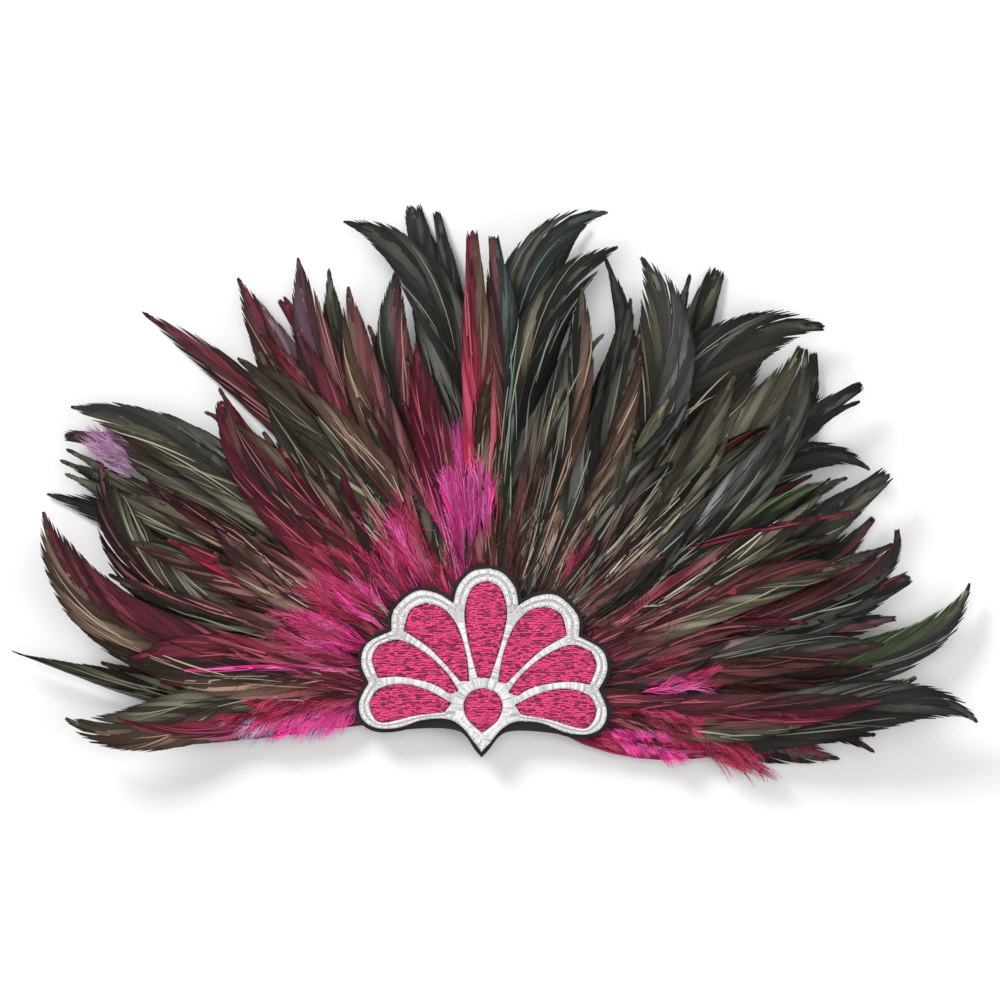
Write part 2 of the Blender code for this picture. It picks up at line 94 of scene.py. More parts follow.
# The feathers, most of them one for each feather of the solids. Angles are degrees clockwise from straight up,
# reach and bend are shares of the fan's reach and width is a share of a full feather's. Then come the colours of the
# left and right vane and of the dyed root, the share of the length that the dye reaches, how blunt the tip is, how
# frayed the vane is, and the roll and twist in degrees.
Feather = namedtuple(
    "Feather", "row leave reach toward arrive bend width left right root dye blunt fray roll twist",
    defaults=(0.0, 0.1, 0, 0))
FEATHERS = tuple(Feather(*values) for values in (
    (1, -88, 0.77, -84, -66, 0.25, 0.60, "olive", "plum", "wine", 0.5, 0.0, 0.1, 10),
    (1, -60, 0.97, -64.5, -74, 0.30, 0.90, "olive", "green_black", "wine", 0.4, 0.0, 0.5, 0, 20),
    (1, -30, 1.04, -41.2, -57, 0.40, 0.75, "plum", "wine", "crimson", 0.6, 0.0, 0.7, 0, 10),
    (1, -21, 0.90, -26.6, -34, 0.25, 0.90, "wine", "wine", "crimson", 0.6, 0.6),
    (1, -13, 0.79, -17.0, -22, 0.25, 0.45, "plum", "plum", "crimson", 0.5, 0.0, 0.2),
    (1, -3, 1.00, -8.2, -14, 0.35, 1.15, "green_black", "green_black", "wine", 0.4, 0.8),
    (1, 8, 0.98, 12.0, 50, 0.20, 0.60, "green_black", "green_black", "olive", 0.3),
    (1, 31, 0.98, 28.4, 20, 0.30, 1.05, "green_black", "olive", "brown", 0.3, 0.85),
    (1, 44, 0.96, 43.5, -5, 0.22, 0.85, "olive", "green_black", "brown", 0.3, 0.5),
    (1, 54, 0.88, 54.5, 78, 0.22, 0.60, "green_black", "green_black", "brown", 0.4, 0.0, 0.4),
    (1, 68, 0.86, 64.8, 40, 0.25, 0.85, "green_black", "plum", "wine", 0.5, 0.4),
    (1, 97, 0.72, 99.0, 100, 0.30, 0.80, "plum", "green_black", "wine", 0.5, 0.0, 0.2),
    (2, -98, 0.95, -83.7, -70, 0.25, 0.75, "green_black", "olive", "wine", 0.4, 0.0, 0.1, 20, 60),
    (2, -70, 0.70, -73.0, -60, 0.25, 0.90, "plum", "olive", "wine", 0.5),
    (2, -52, 0.99, -57.3, -85, 0.25, 0.95, "olive", "plum", "wine", 0.4, 0.6, 0.4),
    (2, -37, 0.98, -30.1, -26, 0.30, 1.00, "plum", "wine", "crimson", 0.5),
    (2, -25, 0.92, -19.7, -3, 0.30, 0.65, "olive", "olive", "crimson", 0.4),
    (2, -11, 0.89, -11.2, 10, 0.30, 0.90, "green_black", "plum", "crimson", 0.4),
    (2, 27, 0.92, 15.3, -24, 0.30, 0.50, "green_black", "green_black", "brown", 0.3),
    (2, 50, 0.90, 58.7, 132, 0.20, 0.85, "green_black", "green_black", "brown", 0.4),
    (2, 88, 1.00, 76.3, 14, 0.20, 1.05, "leaf", "green_black", "wine", 0.5, 0.0, 0.3, 0, 20),
    (3, -78, 0.90, -58.0, -8, 0.32, 1.30, "plum", "olive", "wine", 0.5, 0.0, 0.3),
    (3, -40, 0.83, -32.5, -22, 0.30, 0.95, "olive", "bronze", "crimson", 0.5),
    (3, -28, 0.96, -22.7, -8, 0.30, 0.95, "mauve", "plum", "crimson", 0.5, 0.1),
    (3, -1, 1.00, -16.1, -80, 0.26, 1.10, "green_black", "green_black", "wine", 0.3),
    (3, 5, 1.01, 14.0, 84, 0.28, 1.10, "green_black", "teal", "brown", 0.3),
    (3, 30, 1.01, 41.9, 98, 0.26, 1.50, "green_black", "olive", "khaki", 0.5, 0.3),
    (3, 48, 0.98, 49.8, 58, 0.28, 0.90, "green_black", "green_black", "brown", 0.3, 0.6, 0.2),
    (3, 63, 0.92, 60.4, 50, 0.28, 1.05, "green_black", "olive", "wine", 0.5, 0.8),
    (3, 75, 0.88, 73.5, 62, 0.26, 0.95, "plum", "green_black", "wine", 0.6, 0.7),
    (3, 90, 0.86, 86.6, 60, 0.25, 1.00, "leaf", "green_black", "wine", 0.6, 0.2, 0.2),
    (4, -70, 0.83, -92.0, -55, 0.18, 1.20, "bronze", "olive", "wine", 0.4, 0.0, 0.1, 0, 10),
    (4, -46, 1.01, -54.2, -82, 0.26, 1.10, "olive", "green_black", "wine", 0.4),
    (4, -32, 0.83, -26.6, -20, 0.30, 0.95, "plum", "wine", "crimson", 0.5),
    (4, -14, 0.87, -18.0, -4, 0.30, 0.85, "bronze", "plum", "crimson", 0.5),
    (4, 7, 0.945, 16.2, 68, 0.24, 1.10, "olive", "green_black", "brown", 0.3),
    (4, 38, 0.94, 19.5, -38, 0.22, 1.50, "olive", "grey", "brown", 0.3),
    (4, 52, 0.95, 42.4, 2, 0.28, 0.85, "olive", "green_black", "brown", 0.4, 0.2),
    (4, 74, 0.89, 67.3, -15, 0.14, 0.85, "brown", "green_black", "wine", 0.6, 0.3),
    (4, 112, 0.98, 92.0, 142, 0.17, 1.15, "green_black", "green_black", "crimson", 0.5, 0.0, 0.3),
    (5, -82, 0.95, -66.5, -14, 0.33, 1.35, "bronze", "wine", "wine", 0.35, 0.1),
    (5, -58, 0.65, -56.0, -40, 0.25, 0.90, "plum", "bronze", "crimson", 0.6),
    (5, -44, 0.79, -41.1, -8, 0.20, 0.85, "wine", "plum", "crimson", 0.6, 0.8),
    (5, -16, 0.84, -35.3, -52, 0.26, 1.10, "olive", "bronze", "crimson", 0.4),
    (5, -8, 0.73, -10.6, -6, 0.25, 0.75, "wine", "wine", "hot_pink", 0.6),
    (5, -1, 0.93, -1.4, -3, 0.30, 0.66, "wine", "bronze", "rose", 0.75, 0.9),
    (5, 19, 0.85, 13.2, 0, 0.28, 0.75, "green_black", "bronze", "brown", 0.3),
    (5, 27, 0.80, 22.7, 14, 0.28, 0.90, "green_black", "bronze", "brown", 0.3),
    (5, 42, 0.82, 37.3, 25, 0.28, 0.90, "olive", "khaki", "brown", 0.35),
    (5, 52, 0.84, 46.5, 30, 0.28, 0.80, "grey", "green_black", "brown", 0.35),
    (5, 61, 0.79, 58.0, 45, 0.22, 0.60, "khaki", "olive", "wine", 0.5, 0.0, 0.2),
    (5, 67, 0.78, 69.0, 80, 0.25, 0.85, "brown", "olive", "wine", 0.6),
    (5, 80, 0.80, 81.4, 85, 0.25, 0.85, "green_black", "brown", "wine", 0.6),
    (5, 93, 0.79, 89.3, 80, 0.25, 0.75, "brown", "wine", "wine", 0.7),
    (2, -55, 0.976, -58.7, -62, 0.20, 0.40, "olive", "green_black", "wine", 0.4, 0.0, 0.2),
    (2, -57, 0.975, -60.2, -68, 0.20, 0.55, "green_black", "olive", "wine", 0.4, 0.0, 0.2),
    (2, -59, 0.953, -61.3, -66, 0.20, 0.55, "olive", "olive", "wine", 0.4, 0.0, 0.2),
    (3, -31, 0.91, -29.2, -28, 0.25, 0.80, "plum", "mauve", "crimson", 0.5),
    (1, -2, 0.982, -5.5, -12, 0.30, 0.60, "green_black", "green_black", "wine", 0.3, 0.7),
    (4, 5, 0.925, 1.2, -8, 0.30, 0.90, "plum", "teal", "olive", 0.5, 0.6),
    (3, 17, 0.857, 19.9, 5, 0.25, 0.80, "green_black", "olive", "brown", 0.3),
    (2, 26, 0.95, 25.7, 14, 0.30, 0.50, "olive", "green_black", "brown", 0.3),
    (2, 40, 0.95, 41.8, 22, 0.25, 1.30, "khaki", "olive", "brown", 0.3, 0.3),
    (2, 38, 0.90, 38.5, 40, 0.25, 1.30, "khaki", "olive", "brown", 0.3, 0.2),
    (2, 52, 0.96, 51.2, 70, 0.25, 0.45, "green_black", "green_black", "brown", 0.3, 0.3, 0.2),
    (3, 56, 0.851, 58.1, 70, 0.20, 0.70, "leaf", "khaki", "wine", 0.4, 0.0, 0.2),
    (3, 66, 0.871, 68.7, 60, 0.20, 0.70, "green_black", "plum", "wine", 0.5, 0.3),
    (3, 78, 0.835, 78.3, 85, 0.20, 0.90, "green_black", "plum", "wine", 0.5, 0.3),
    (5, 40, 0.826, 62.4, 80, 0.35, 0.14, "brown", "wine", "brown", 0.5),
    (5, -76, 0.600, -83.8, -92, 0.30, 0.12, "hot_pink", "hot_pink", "hot_pink", 1.0),
    (4, -61, 0.710, -62.6, -66, 0.20, 0.50, "crimson", "wine", "crimson", 1.0),
))

# Shorter feathers packed between the main ones, drawn at random within each zone of the fan
Zone = namedtuple("Zone", "start end count near far colours roots")
ZONES = tuple(Zone(*values) for values in (
    (-95, -82, 16, 0.42, 0.78, ("olive", "bronze", "plum", "wine"), ("wine", "hot_pink")),
    (-82, -52, 30, 0.45, 0.82, ("plum", "bronze", "olive", "plum"), ("wine", "wine", "crimson")),
    (-52, -20, 36, 0.45, 0.86, ("olive", "bronze", "plum", "wine"), ("crimson", "wine", "hot_pink")),
    (-20, 0, 20, 0.40, 0.74, ("wine", "plum", "olive", "plum"), ("hot_pink", "crimson")),
    (0, 14, 14, 0.42, 0.74, ("green_black", "olive", "bronze", "green_black"), ("wine", "brown", "wine")),
    (14, 45, 36, 0.42, 0.78, ("green_black", "olive", "khaki", "green_black", "grey"), ("wine", "brown", "wine")),
    (45, 72, 30, 0.42, 0.82, ("green_black", "khaki", "olive", "green_black", "brown"),
     ("brown", "wine", "brown", "brown")),
    (72, 98, 34, 0.40, 0.80, ("brown", "olive", "green_black", "wine", "brown"), ("wine", "brown", "brown")),
))

# The colour of a vane, and the painted highlight colour of its strands where they would catch the light
Dye = namedtuple("Dye", "about body light")
DYES = {
    "plum": Dye("Brown vane with a little dye", (78, 40, 44), (188, 124, 124)),
    "brown": Dye("Dark brown vane that took little dye", (58, 28, 30), (124, 66, 66)),
    "bronze": Dye("Warm brown vane", (80, 58, 47), (188, 162, 138)),
    "olive": Dye("Brown-green vane", (57, 54, 43), (172, 166, 142)),
    "khaki": Dye("Pale green-brown vane", (74, 71, 55), (206, 200, 174)),
    "green_black": Dye("Dark vane with a green cast", (34, 36, 31), (138, 138, 127)),
    "grey": Dye("Grey vane", (74, 73, 71), (192, 190, 185)),
    "wine": Dye("Dark vane that took much dye", (94, 24, 42), (186, 86, 106)),
    "crimson": Dye("Red vane", (154, 27, 60), (220, 88, 128)),
    "cerise": Dye("Pink-red vane", (166, 32, 78), (214, 88, 134)),
    "rose": Dye("Bright pink-red vane", (206, 44, 84), (244, 112, 140)),
    "hot_pink": Dye("Pale vane dyed through", (212, 44, 132), (246, 126, 196)),
    "lilac": Dye("Pale violet fluff", (160, 112, 152), (222, 190, 220)),
    "mauve": Dye("Greyed purple vane", (112, 84, 96), (190, 170, 180)),
    "teal": Dye("Dark vane with a blue-green glint", (42, 52, 48), (130, 154, 146)),
    "leaf": Dye("Yellow-green vane", (68, 82, 52), (154, 172, 120)),
}

# Half width of a vane along the feather, as shares of its length and of half its full width
VANE_ALONG = (0.00, 0.16, 0.32, 0.48, 0.64, 0.80, 0.92, 1.00)
VANE_WIDE = (0.12, 0.40, 0.78, 0.96, 1.00, 0.86, 0.52, 0.05)

# Where on the shaft the vane starts and how much of the shaft it covers, and for a blunt tip from where on it keeps
# its width and how much of that it loses up to the end
VANE_START = 0.08
VANE_SPAN = 0.915
BLUNT_FROM = 0.75
BLUNT_TAPER = 0.6

# The barbs of one side of a vane: the fewest, how many cling together, how far they pull at most, the fray from which
# on some drop out, how bright a group gets, the least half width that they curl over and how high a vane ripples
LEAST_BARBS = 12
BARBS_IN_GROUP = (3, 11)
MOST_PULL = 0.85
BARBS_DROP_FROM = 0.35
BRIGHTEST = 2.0
LEAST_HALF_WIDTH = 0.001
RIPPLE = 0.0005
Barbs = namedtuple("Barbs", "group place share q")

# How many points each kind of strand has along it, the two edges of a flat strand and the three lines of a thread
BARB_POINTS = 6
WISP_POINTS = 7
QUILL_POINTS = 22
QUILL_SIDES = 4
FOOT_POINTS = 6
BAND_POINTS = 73
SATIN_POINTS = 11
FILL_POINTS = 7
EDGES = np.array([-1.0, 1.0])
THREAD_SIDES = np.array([-1.0, 0.0, 1.0])

# The loose strands at the foot of a feather, which one that points further off straight up than this doesn't have
FOOT_DOWN_WITHIN = 78
FOOT_STRANDS = 26
FOOT_HALF_WIDTH = 0.000112
FOOT_CURL = 0.0008

# The down lies on the top row's tape at the first of these radii and this high at the second
DOWN_RADII = (0.05, 0.13)
DOWN_RIM_HEIGHT = 0.013

# The embroidery: the length over which a corner turns, how far a satin stitch reaches past the edge, how far its
# crest stands over the solid and the rim's crest over that, how deep the fill under it lies, the widest stitch of
# the ring and of a rib as shares of the border's widest, and half the width of the sewn line as a share of the rim's
CORNER_SOFTNESS = 0.0012
SATIN_OVERHANG = 0.00022
SATIN_CREST = 0.00012
RIM_EXTRA = 0.00008
UNDER_FILL = 0.0005
RING_SHARE = 0.85
RIB_SHARE = 0.7
SEAM_WIDTH = 0.13

# An edge of the base or the comb is rounded where its faces turn by more than this
SHARP = math.radians(50)

# What the camera and the lamps face, each lamp's place, size and power, and the light from all round
AIM = (0.0064, -FAN_DROP + 0.0812, 0.012)
LAMPS = (
    ("key", (-0.7, 0.9, 0.9), 0.5, 13.0),
    ("fill", (0.9, -0.3, 0.9), 0.9, 5.0),
    ("top", (0.0, 0.1, 1.5), 1.0, 7.0),
)
SKY_STRENGTH = 0.35
VIEW_LIMIT = 50.0

# Tufts of down: the angles and the reach that their feet lie between, the length of a tuft as a share of the fan's
# reach, how many there are, their colour, how high they stand and how far the strands turn off the fan's direction
Tuft = namedtuple("Tuft", "start end near far length count colour lift swing")
TUFTS = tuple(Tuft(*values) for values in (
    (-14, -1, 0.28, 0.38, 0.16, 20, "hot_pink", 0.005, 0),
    (-75, -16, 0.28, 0.36, 0.15, 14, "crimson", 0.003, 0),
    (-75, -14, 0.22, 0.30, 0.13, 24, "cerise", 0.004, 0),
    (-66, -16, 0.24, 0.30, 0.12, 7, "hot_pink", 0.002, 0),
    (-72, -62, 0.25, 0.30, 0.10, 3, "hot_pink", 0.004, 0),
    (-94, -84, 0.25, 0.46, 0.10, 8, "crimson", 0.004, -25),
    (-96, -91, 0.25, 0.50, 0.07, 18, "hot_pink", 0.002, -38),
    (-96, -92, 0.27, 0.52, 0.07, 8, "lilac", 0.001, -48),
    (-57.5, -54, 0.83, 0.87, 0.075, 9, "lilac", 0.002, 0),
    (4, 80, 0.25, 0.29, 0.11, 6, "wine", 0.0, 0),
    (83, 86, 0.30, 0.32, 0.09, 2, "hot_pink", 0.004, -8),
    (83, 86, 0.36, 0.41, 0.10, 3, "cerise", 0.004, -14),
    (63, 66, 0.50, 0.53, 0.06, 2, "rose", 0.006, 10),
    (92, 103, 0.25, 0.52, 0.08, 14, "crimson", 0.003, 28),
    (92, 99, 0.28, 0.64, 0.08, 8, "wine", 0.004, 32),
    (99, 107, 0.24, 0.37, 0.05, 11, "hot_pink", 0.002, 26),
    (105, 112, 0.18, 0.28, 0.05, 8, "crimson", 0.001, -4),
    (96, 99.5, 0.36, 0.52, 0.055, 11, "cerise", 0.003, 36),
    (-3, 1, 0.31, 0.40, 0.13, 5, "hot_pink", 0.006, 0),
))


def linear(*channels):
    """A colour given in the usual 0 to 255 steps, as linear values."""
    shares = [c / 255 for c in channels]
    return tuple(s / 12.92 if s <= 0.04045 else ((s + 0.055) / 1.055) ** 2.4 for s in shares)


def colour(name, description, *channels):
    return FloatVectorProperty(name=name, description=description, subtype="COLOR", size=3, min=0.0, max=1.0,
                               default=linear(*channels))


def length(name, description, default):
    return FloatProperty(name=name, description=description, unit="LENGTH", min=0.0, precision=5, default=default)


class FeatherSettings(PropertyGroup):
    blade_width: length("Feather width", "Width of a full feather", 0.0195)
    filler_width: length("Filler width", "Width of a short feather between the main ones", 0.013)
    barb_spacing: length("Barb spacing", "Distance between two strands of a vane along the shaft", 0.0015)
    clump_height: length("Clump height", "How high the strands of a vane stand in each group", 0.0004)
    wisps: IntProperty(name="Wisps", description="Loose strands over each vane", default=12, min=0)
    wisp_width: length("Wisp width", "Width of a loose strand", 0.0006)
    # How many strand groups get a painted highlight in their dye's lit colour
    lit_share: FloatProperty(name="Lit groups", description="Share of the strand groups that catch the light",
                             default=0.32, subtype="FACTOR", min=0.0, max=1.0)
    quill_radius: length("Quill radius", "Radius of the shaft at its root", 0.0006)
    forward: FloatProperty(name="Barb sweep", description="How far a barb runs forward, as a share of the feather",
                           default=0.27, subtype="FACTOR", min=0.02, max=0.5)
    camber: length("Camber", "How far a vane curls down at its edge", 0.0022)
    tape: colour("Tape", "Cotton tape that the quills are sewn to", 40, 38, 40)
    for dye, kind in DYES.items():
        label = dye.replace("_", " ").capitalize()
        __annotations__[dye] = colour(label, kind.about, *kind.body)
        # Each dye's lit colour is painted into the strands as a highlight
        __annotations__[dye + "_light"] = colour(label + ", lit", kind.about + ", where it catches the light",
                                                 *kind.light)


class DownSettings(PropertyGroup):
    strand_width: length("Strand width", "Width of one strand of down", 0.00032)
    strands: IntProperty(name="Strands", description="Strands in one tuft of down", default=90, min=4)
    locks: IntProperty(name="Locks", description="Locks that the strands of a tuft gather in", default=9, min=1)
    curl: length("Curl", "How far a strand of down wanders sideways", 0.0013)


class PatchSettings(PropertyGroup):
    satin_pitch: length("Satin pitch", "Distance between two stitches of the border", 0.00046)
    satin_width: length("Satin width", "Widest stitch of the border", 0.0050)
    fill_pitch: length("Fill pitch", "Distance between two rows of fill stitch", 0.00070)
    fill_stitch: length("Fill stitch", "Length of one fill stitch", 0.0017)
    thread: length("Thread", "Width of the thread", 0.00058)
    silver_thread: colour("Silver thread", "The border's thread", 242, 240, 238)
    magenta_thread: colour("Magenta thread", "The petals' thread", 240, 66, 128)
    # Deep magenta of the darker stitches and of the ground between them, which each petal thread is also mixed
    # towards at its sides as painted shade
    dark_thread_and_shade: colour("Deep magenta", "Between the petals' stitches", 112, 16, 52)
    twill: colour("Twill", "The patch's black cloth", 17, 16, 17)


class CombSettings(PropertyGroup):
    edge: length("Edge radius", "Rounding of the comb's edges", 0.0005)
    plastic: colour("Plastic", "The comb's colour", 26, 25, 27)


class StageSettings(PropertyGroup):
    floor: colour("Floor", "The pale floor", 247, 247, 247)
    floor_size: length("Floor size", "Side of the floor", 6.0)
    lens: FloatProperty(name="Lens", description="Focal length in millimetres", default=200.0, min=10.0)
    view_width: length("View width", "What the camera takes in at the patch", 0.4)


SETTINGS = {
    "headdress_feathers": FeatherSettings,
    "headdress_down": DownSettings,
    "headdress_patch": PatchSettings,
    "headdress_comb": CombSettings,
    "headdress_stage": StageSettings,
}


class Value:
    """A node's output that can be used in plain arithmetic."""

    def __init__(self, tree, socket):
        self.tree = tree
        self.socket = socket

    def maths(self, operation, first, second):
        return add_node(self.tree, "ShaderNodeMath", {"operation": operation}, {0: first, 1: second})

    def __add__(self, other):
        return self.maths("ADD", self, other)

    def __radd__(self, other):
        return self.maths("ADD", other, self)

    def __sub__(self, other):
        return self.maths("SUBTRACT", self, other)

    def __rsub__(self, other):
        return self.maths("SUBTRACT", other, self)

    def __mul__(self, other):
        return self.maths("MULTIPLY", self, other)

    def __truediv__(self, other):
        return self.maths("DIVIDE", self, other)

    def clamped(self):
        return add_node(self.tree, "ShaderNodeMath", {"operation": "ADD", "use_clamp": True}, {0: self, 1: 0.0})


def add_node(tree, kind, settings=None, inputs=None, output=0):
    """Adds a node, sets it, feeds its sockets with values or links and returns one of its outputs."""
    node = tree.nodes.new(kind)
    for name, value in (settings or {}).items():
        setattr(node, name, value)
    for key, value in (inputs or {}).items():
        if isinstance(value, Value):
            tree.links.new(value.socket, node.inputs[key])
        else:
            node.inputs[key].default_value = value
    return Value(tree, node.outputs[output])


class Finish:
    """A material under construction, with short words for the nodes that it is made of."""

    def __init__(self, name, **constants):
        self.material = bpy.data.materials.new(name)
        self.material.use_nodes = True
        self.tree = self.material.node_tree
        self.shader = self.tree.nodes["Principled BSDF"]
        for key, value in constants.items():
            self.shader.inputs[key.replace("_", " ")].default_value = value

    def node(self, kind, settings=None, inputs=None, output=0):
        return add_node(self.tree, kind, settings, inputs, output)

    def attribute(self, name, output="Color"):
        return self.node("ShaderNodeAttribute", {"attribute_name": name}, output=output)

    def parts(self, vector):
        node = self.tree.nodes.new("ShaderNodeSeparateXYZ")
        self.tree.links.new(vector.socket, node.inputs[0])
        return [Value(self.tree, socket) for socket in node.outputs]

    def vector(self, x, y, z):
        return self.node("ShaderNodeCombineXYZ", inputs={0: x, 1: y, 2: z})

    def place(self):
        return self.node("ShaderNodeTexCoord", output="Object")

    def noise(self, vector, scale, detail=2.0, roughness=0.5):
        return self.node("ShaderNodeTexNoise", inputs={"Vector": vector, "Scale": scale, "Detail": detail,
                                                       "Roughness": roughness})

    def mix(self, share, first, second):
        return self.node("ShaderNodeMix", {"data_type": "RGBA"}, {0: share, 6: opaque(first), 7: opaque(second)}, 2)

    def scaled(self, shade, factor):
        return self.node("ShaderNodeVectorMath", {"operation": "SCALE"}, {0: shade, "Scale": factor})

    def feed(self, name, value):
        self.tree.links.new(value.socket, self.shader.inputs[name])

    def bump(self, height, strength, distance):
        self.feed("Normal", self.node("ShaderNodeBump", inputs={"Strength": strength, "Distance": distance,
                                                                "Height": height}))


def opaque(shade):
    return shade if isinstance(shade, Value) else (*shade[:3], 1.0)


def feather_finish():
    """Dyed vane: the colour of each strand, painted highlights and painted shade included, with fine lines along it
    and a silky gloss.
    """
    finish = Finish("cock_feather", Roughness=0.5, IOR=1.5, Specular_IOR_Level=0.18)
    along, across, chance = finish.parts(finish.attribute("strand", "Vector"))
    lines = finish.noise(finish.vector(across * 2.2 + chance * 61.0, along * 1.4, chance * 17.0), 1.0, 3.0, 0.65)
    mottle = finish.noise(finish.place(), 160.0, 2.0)
    shade = 0.45 + lines * 0.85 + (chance - 0.5) * 0.25 + (mottle - 0.5) * 0.3
    finish.feed("Base Color", finish.scaled(finish.attribute("colour_and_painted_light"), shade))
    finish.feed("Roughness", 0.38 + lines * 0.28)
    finish.bump(lines, 0.5, 0.0002)
    return finish.material


def down_finish():
    """Down: soft strands, paler towards their ends."""
    finish = Finish("magenta_down", Roughness=0.85, Specular_IOR_Level=0.2)
    along, _, chance = finish.parts(finish.attribute("strand", "Vector"))
    shade = 0.8 + along * 0.3 + (chance - 0.5) * 0.3
    finish.feed("Base Color", finish.scaled(finish.attribute("colour_and_painted_light"), shade))
    finish.feed("Roughness", 0.75 + chance * 0.2)
    return finish.material


def thread_finish(name, shade, groove, spread, seam=0.0, **constants):
    """Embroidery thread: twisted plies, with painted shade on each thread's two sides where two stitches meet, a
    random tone for each stitch, and dark spots along a seam's middle.
    """
    finish = Finish(name, **constants)
    along, across, chance = finish.parts(finish.attribute("strand", "Vector"))
    twist = finish.node("ShaderNodeTexWave", {"wave_type": "BANDS", "bands_direction": "DIAGONAL"},
                        {"Vector": finish.vector(across * 0.6, along * 4.0, chance * 3.0), "Scale": 2.0,
                         "Distortion": 1.5}, 1)
    # Painted shade: each thread is mixed towards the groove colour at its two sides, and each stitch gets a random
    # tone
    body = 1.0 - across * across
    light = (0.4 + body * 0.65 + (chance - 0.5) * spread).clamped()
    if seam:
        off = (along - 0.5) / SEAM_WIDTH
        light = light * (1.0 - (1.0 - off * off).clamped() * (chance * 3.0 - 0.3).clamped() * seam)
    finish.feed("Base Color", finish.mix(light, groove, shade))
    finish.feed("Roughness", 0.34 + twist * 0.25)
    finish.bump(twist, 0.35, 0.00008)
    return finish.material


def cloth_finish(name, shade, pitch, light=1.9):
    """Twill: diagonal ribs over a fine weave."""
    finish = Finish(name, Roughness=0.85, Specular_IOR_Level=0.25)
    place = finish.place()
    x, y, z = finish.parts(place)
    ribs = finish.node("ShaderNodeTexWave", {"wave_type": "BANDS", "bands_direction": "X"},
                       {"Vector": finish.vector(x + y, x - y, z), "Scale": 0.31 / pitch, "Distortion": 0.6,
                        "Detail": 1.0}, 1)
    lint = finish.noise(place, 900.0, 2.0)
    level = ribs * 0.7 + lint * 0.4
    finish.feed("Base Color", finish.mix(level.clamped(), [c * 0.5 for c in shade], [c * light for c in shade]))
    finish.feed("Roughness", 0.75 + lint * 0.2)
    finish.bump(level, 0.6, 0.0002)
    return finish.material


def plastic_finish(name, shade):
    """Moulded plastic: a faint grain, with fine scuffs."""
    finish = Finish(name, Roughness=0.35, IOR=1.46)
    place = finish.place()
    grain = finish.noise(place, 2600.0, 2.0)
    scuffs = finish.noise(finish.node("ShaderNodeMapping", inputs={"Vector": place, "Scale": (40.0, 900.0, 900.0)}),
                          1.0, 3.0)
    finish.feed("Base Color", finish.mix(scuffs, shade, [c * 1.8 + 0.004 for c in shade]))
    finish.feed("Roughness", 0.28 + scuffs * 0.2 + grain * 0.06)
    finish.bump(grain, 0.15, 0.0001)
    return finish.material


def floor_finish(shade):
    finish = Finish("pale_floor", Base_Color=opaque(shade), Roughness=0.9)
    return finish.material


class Strips:
    """Many narrow grids of points, each one a strand, joined into one mesh.

    Every strand has its own cell in the map for textures, so no two strands share a place in it.
    """

    CELLS_WIDE_FOR_HIGH = 6
    CELL_ACROSS = (0.12, 0.88)
    CELL_ALONG = (0.04, 0.96)

    def __init__(self):
        self.batches = []

    def add(self, places, colour_and_painted_light, chance, slot=0):
        """places is strands by rows by columns by 3, then a colour for each point with any painted highlight and
        shade in it, then chance, a number a strand.
        """
        count, rows, columns = places.shape[:3]
        strand = np.empty((count, rows, columns, 3))
        strand[..., 0] = np.linspace(0.0, 1.0, rows)[:, None]
        strand[..., 1] = np.linspace(-1.0, 1.0, columns)
        strand[..., 2] = np.asarray(chance)[:, None, None]
        colour_and_painted_light = np.broadcast_to(colour_and_painted_light, (count, rows, columns, 3))
        self.batches.append((places, colour_and_painted_light, strand, slot))

    def gathered(self):
        """The points, colours, strand values, faces, material numbers and map places of all the batches."""
        total = sum(places.shape[0] for places, *_ in self.batches)
        wide = math.ceil(math.sqrt(total * self.CELLS_WIDE_FOR_HIGH))
        high = math.ceil(total / wide)
        batches = []
        start, cell = 0, 0
        for places, colour_and_painted_light, strand, slot in self.batches:
            count, rows, columns = places.shape[:3]
            index = np.arange(count * rows * columns).reshape(count, rows, columns) + start
            corners = np.stack([index[:, :-1, :-1], index[:, :-1, 1:], index[:, 1:, 1:], index[:, 1:, :-1]],
                               axis=-1)
            cells = (cell + np.arange(count))[:, None, None]
            across = np.linspace(*self.CELL_ACROSS, columns) + cells % wide
            along = np.linspace(*self.CELL_ALONG, rows)[:, None] + cells // wide
            spots = np.stack(np.broadcast_arrays(across / wide, along / high), axis=-1)
            slots = np.full(count * (rows - 1) * (columns - 1), slot)
            batches.append((places.reshape(-1, 3), colour_and_painted_light.reshape(-1, 3), strand.reshape(-1, 3),
                            corners.reshape(-1, 4), slots, spots.reshape(-1, 2)))
            start += count * rows * columns
            cell += count
        return [np.concatenate(kind) for kind in zip(*batches)]

    def make(self, name, materials):
        places, colours_and_painted_light, strands, faces, slots, spots = self.gathered()
        places[:, 2] = np.maximum(places[:, 2], FLOOR_CLEARANCE)
        shades = np.ones((len(places), 4), dtype=np.float32)
        shades[:, :3] = colours_and_painted_light
        mesh = bpy.data.meshes.new(name)
        mesh.vertices.add(len(places))
        mesh.loops.add(faces.size)
        mesh.polygons.add(len(faces))
        fill_in(mesh.vertices, "co", places, np.float32)
        fill_in(mesh.loops, "vertex_index", faces, np.int32)
        fill_in(mesh.polygons, "loop_start", np.arange(0, faces.size, 4), np.int32)
        fill_in(mesh.polygons, "material_index", slots, np.int32)
        fill_in(mesh.polygons, "use_smooth", np.ones(len(faces)), bool)
        mesh.update(calc_edges=True)
        fill_in(mesh.attributes.new("colour_and_painted_light", "FLOAT_COLOR", "POINT").data, "color", shades, np.float32)
        fill_in(mesh.attributes.new("strand", "FLOAT_VECTOR", "POINT").data, "vector", strands, np.float32)
        fill_in(mesh.uv_layers.new(name="OFBake").data, "uv", spots[faces.ravel()], np.float32)
        return placed(name, mesh, materials)


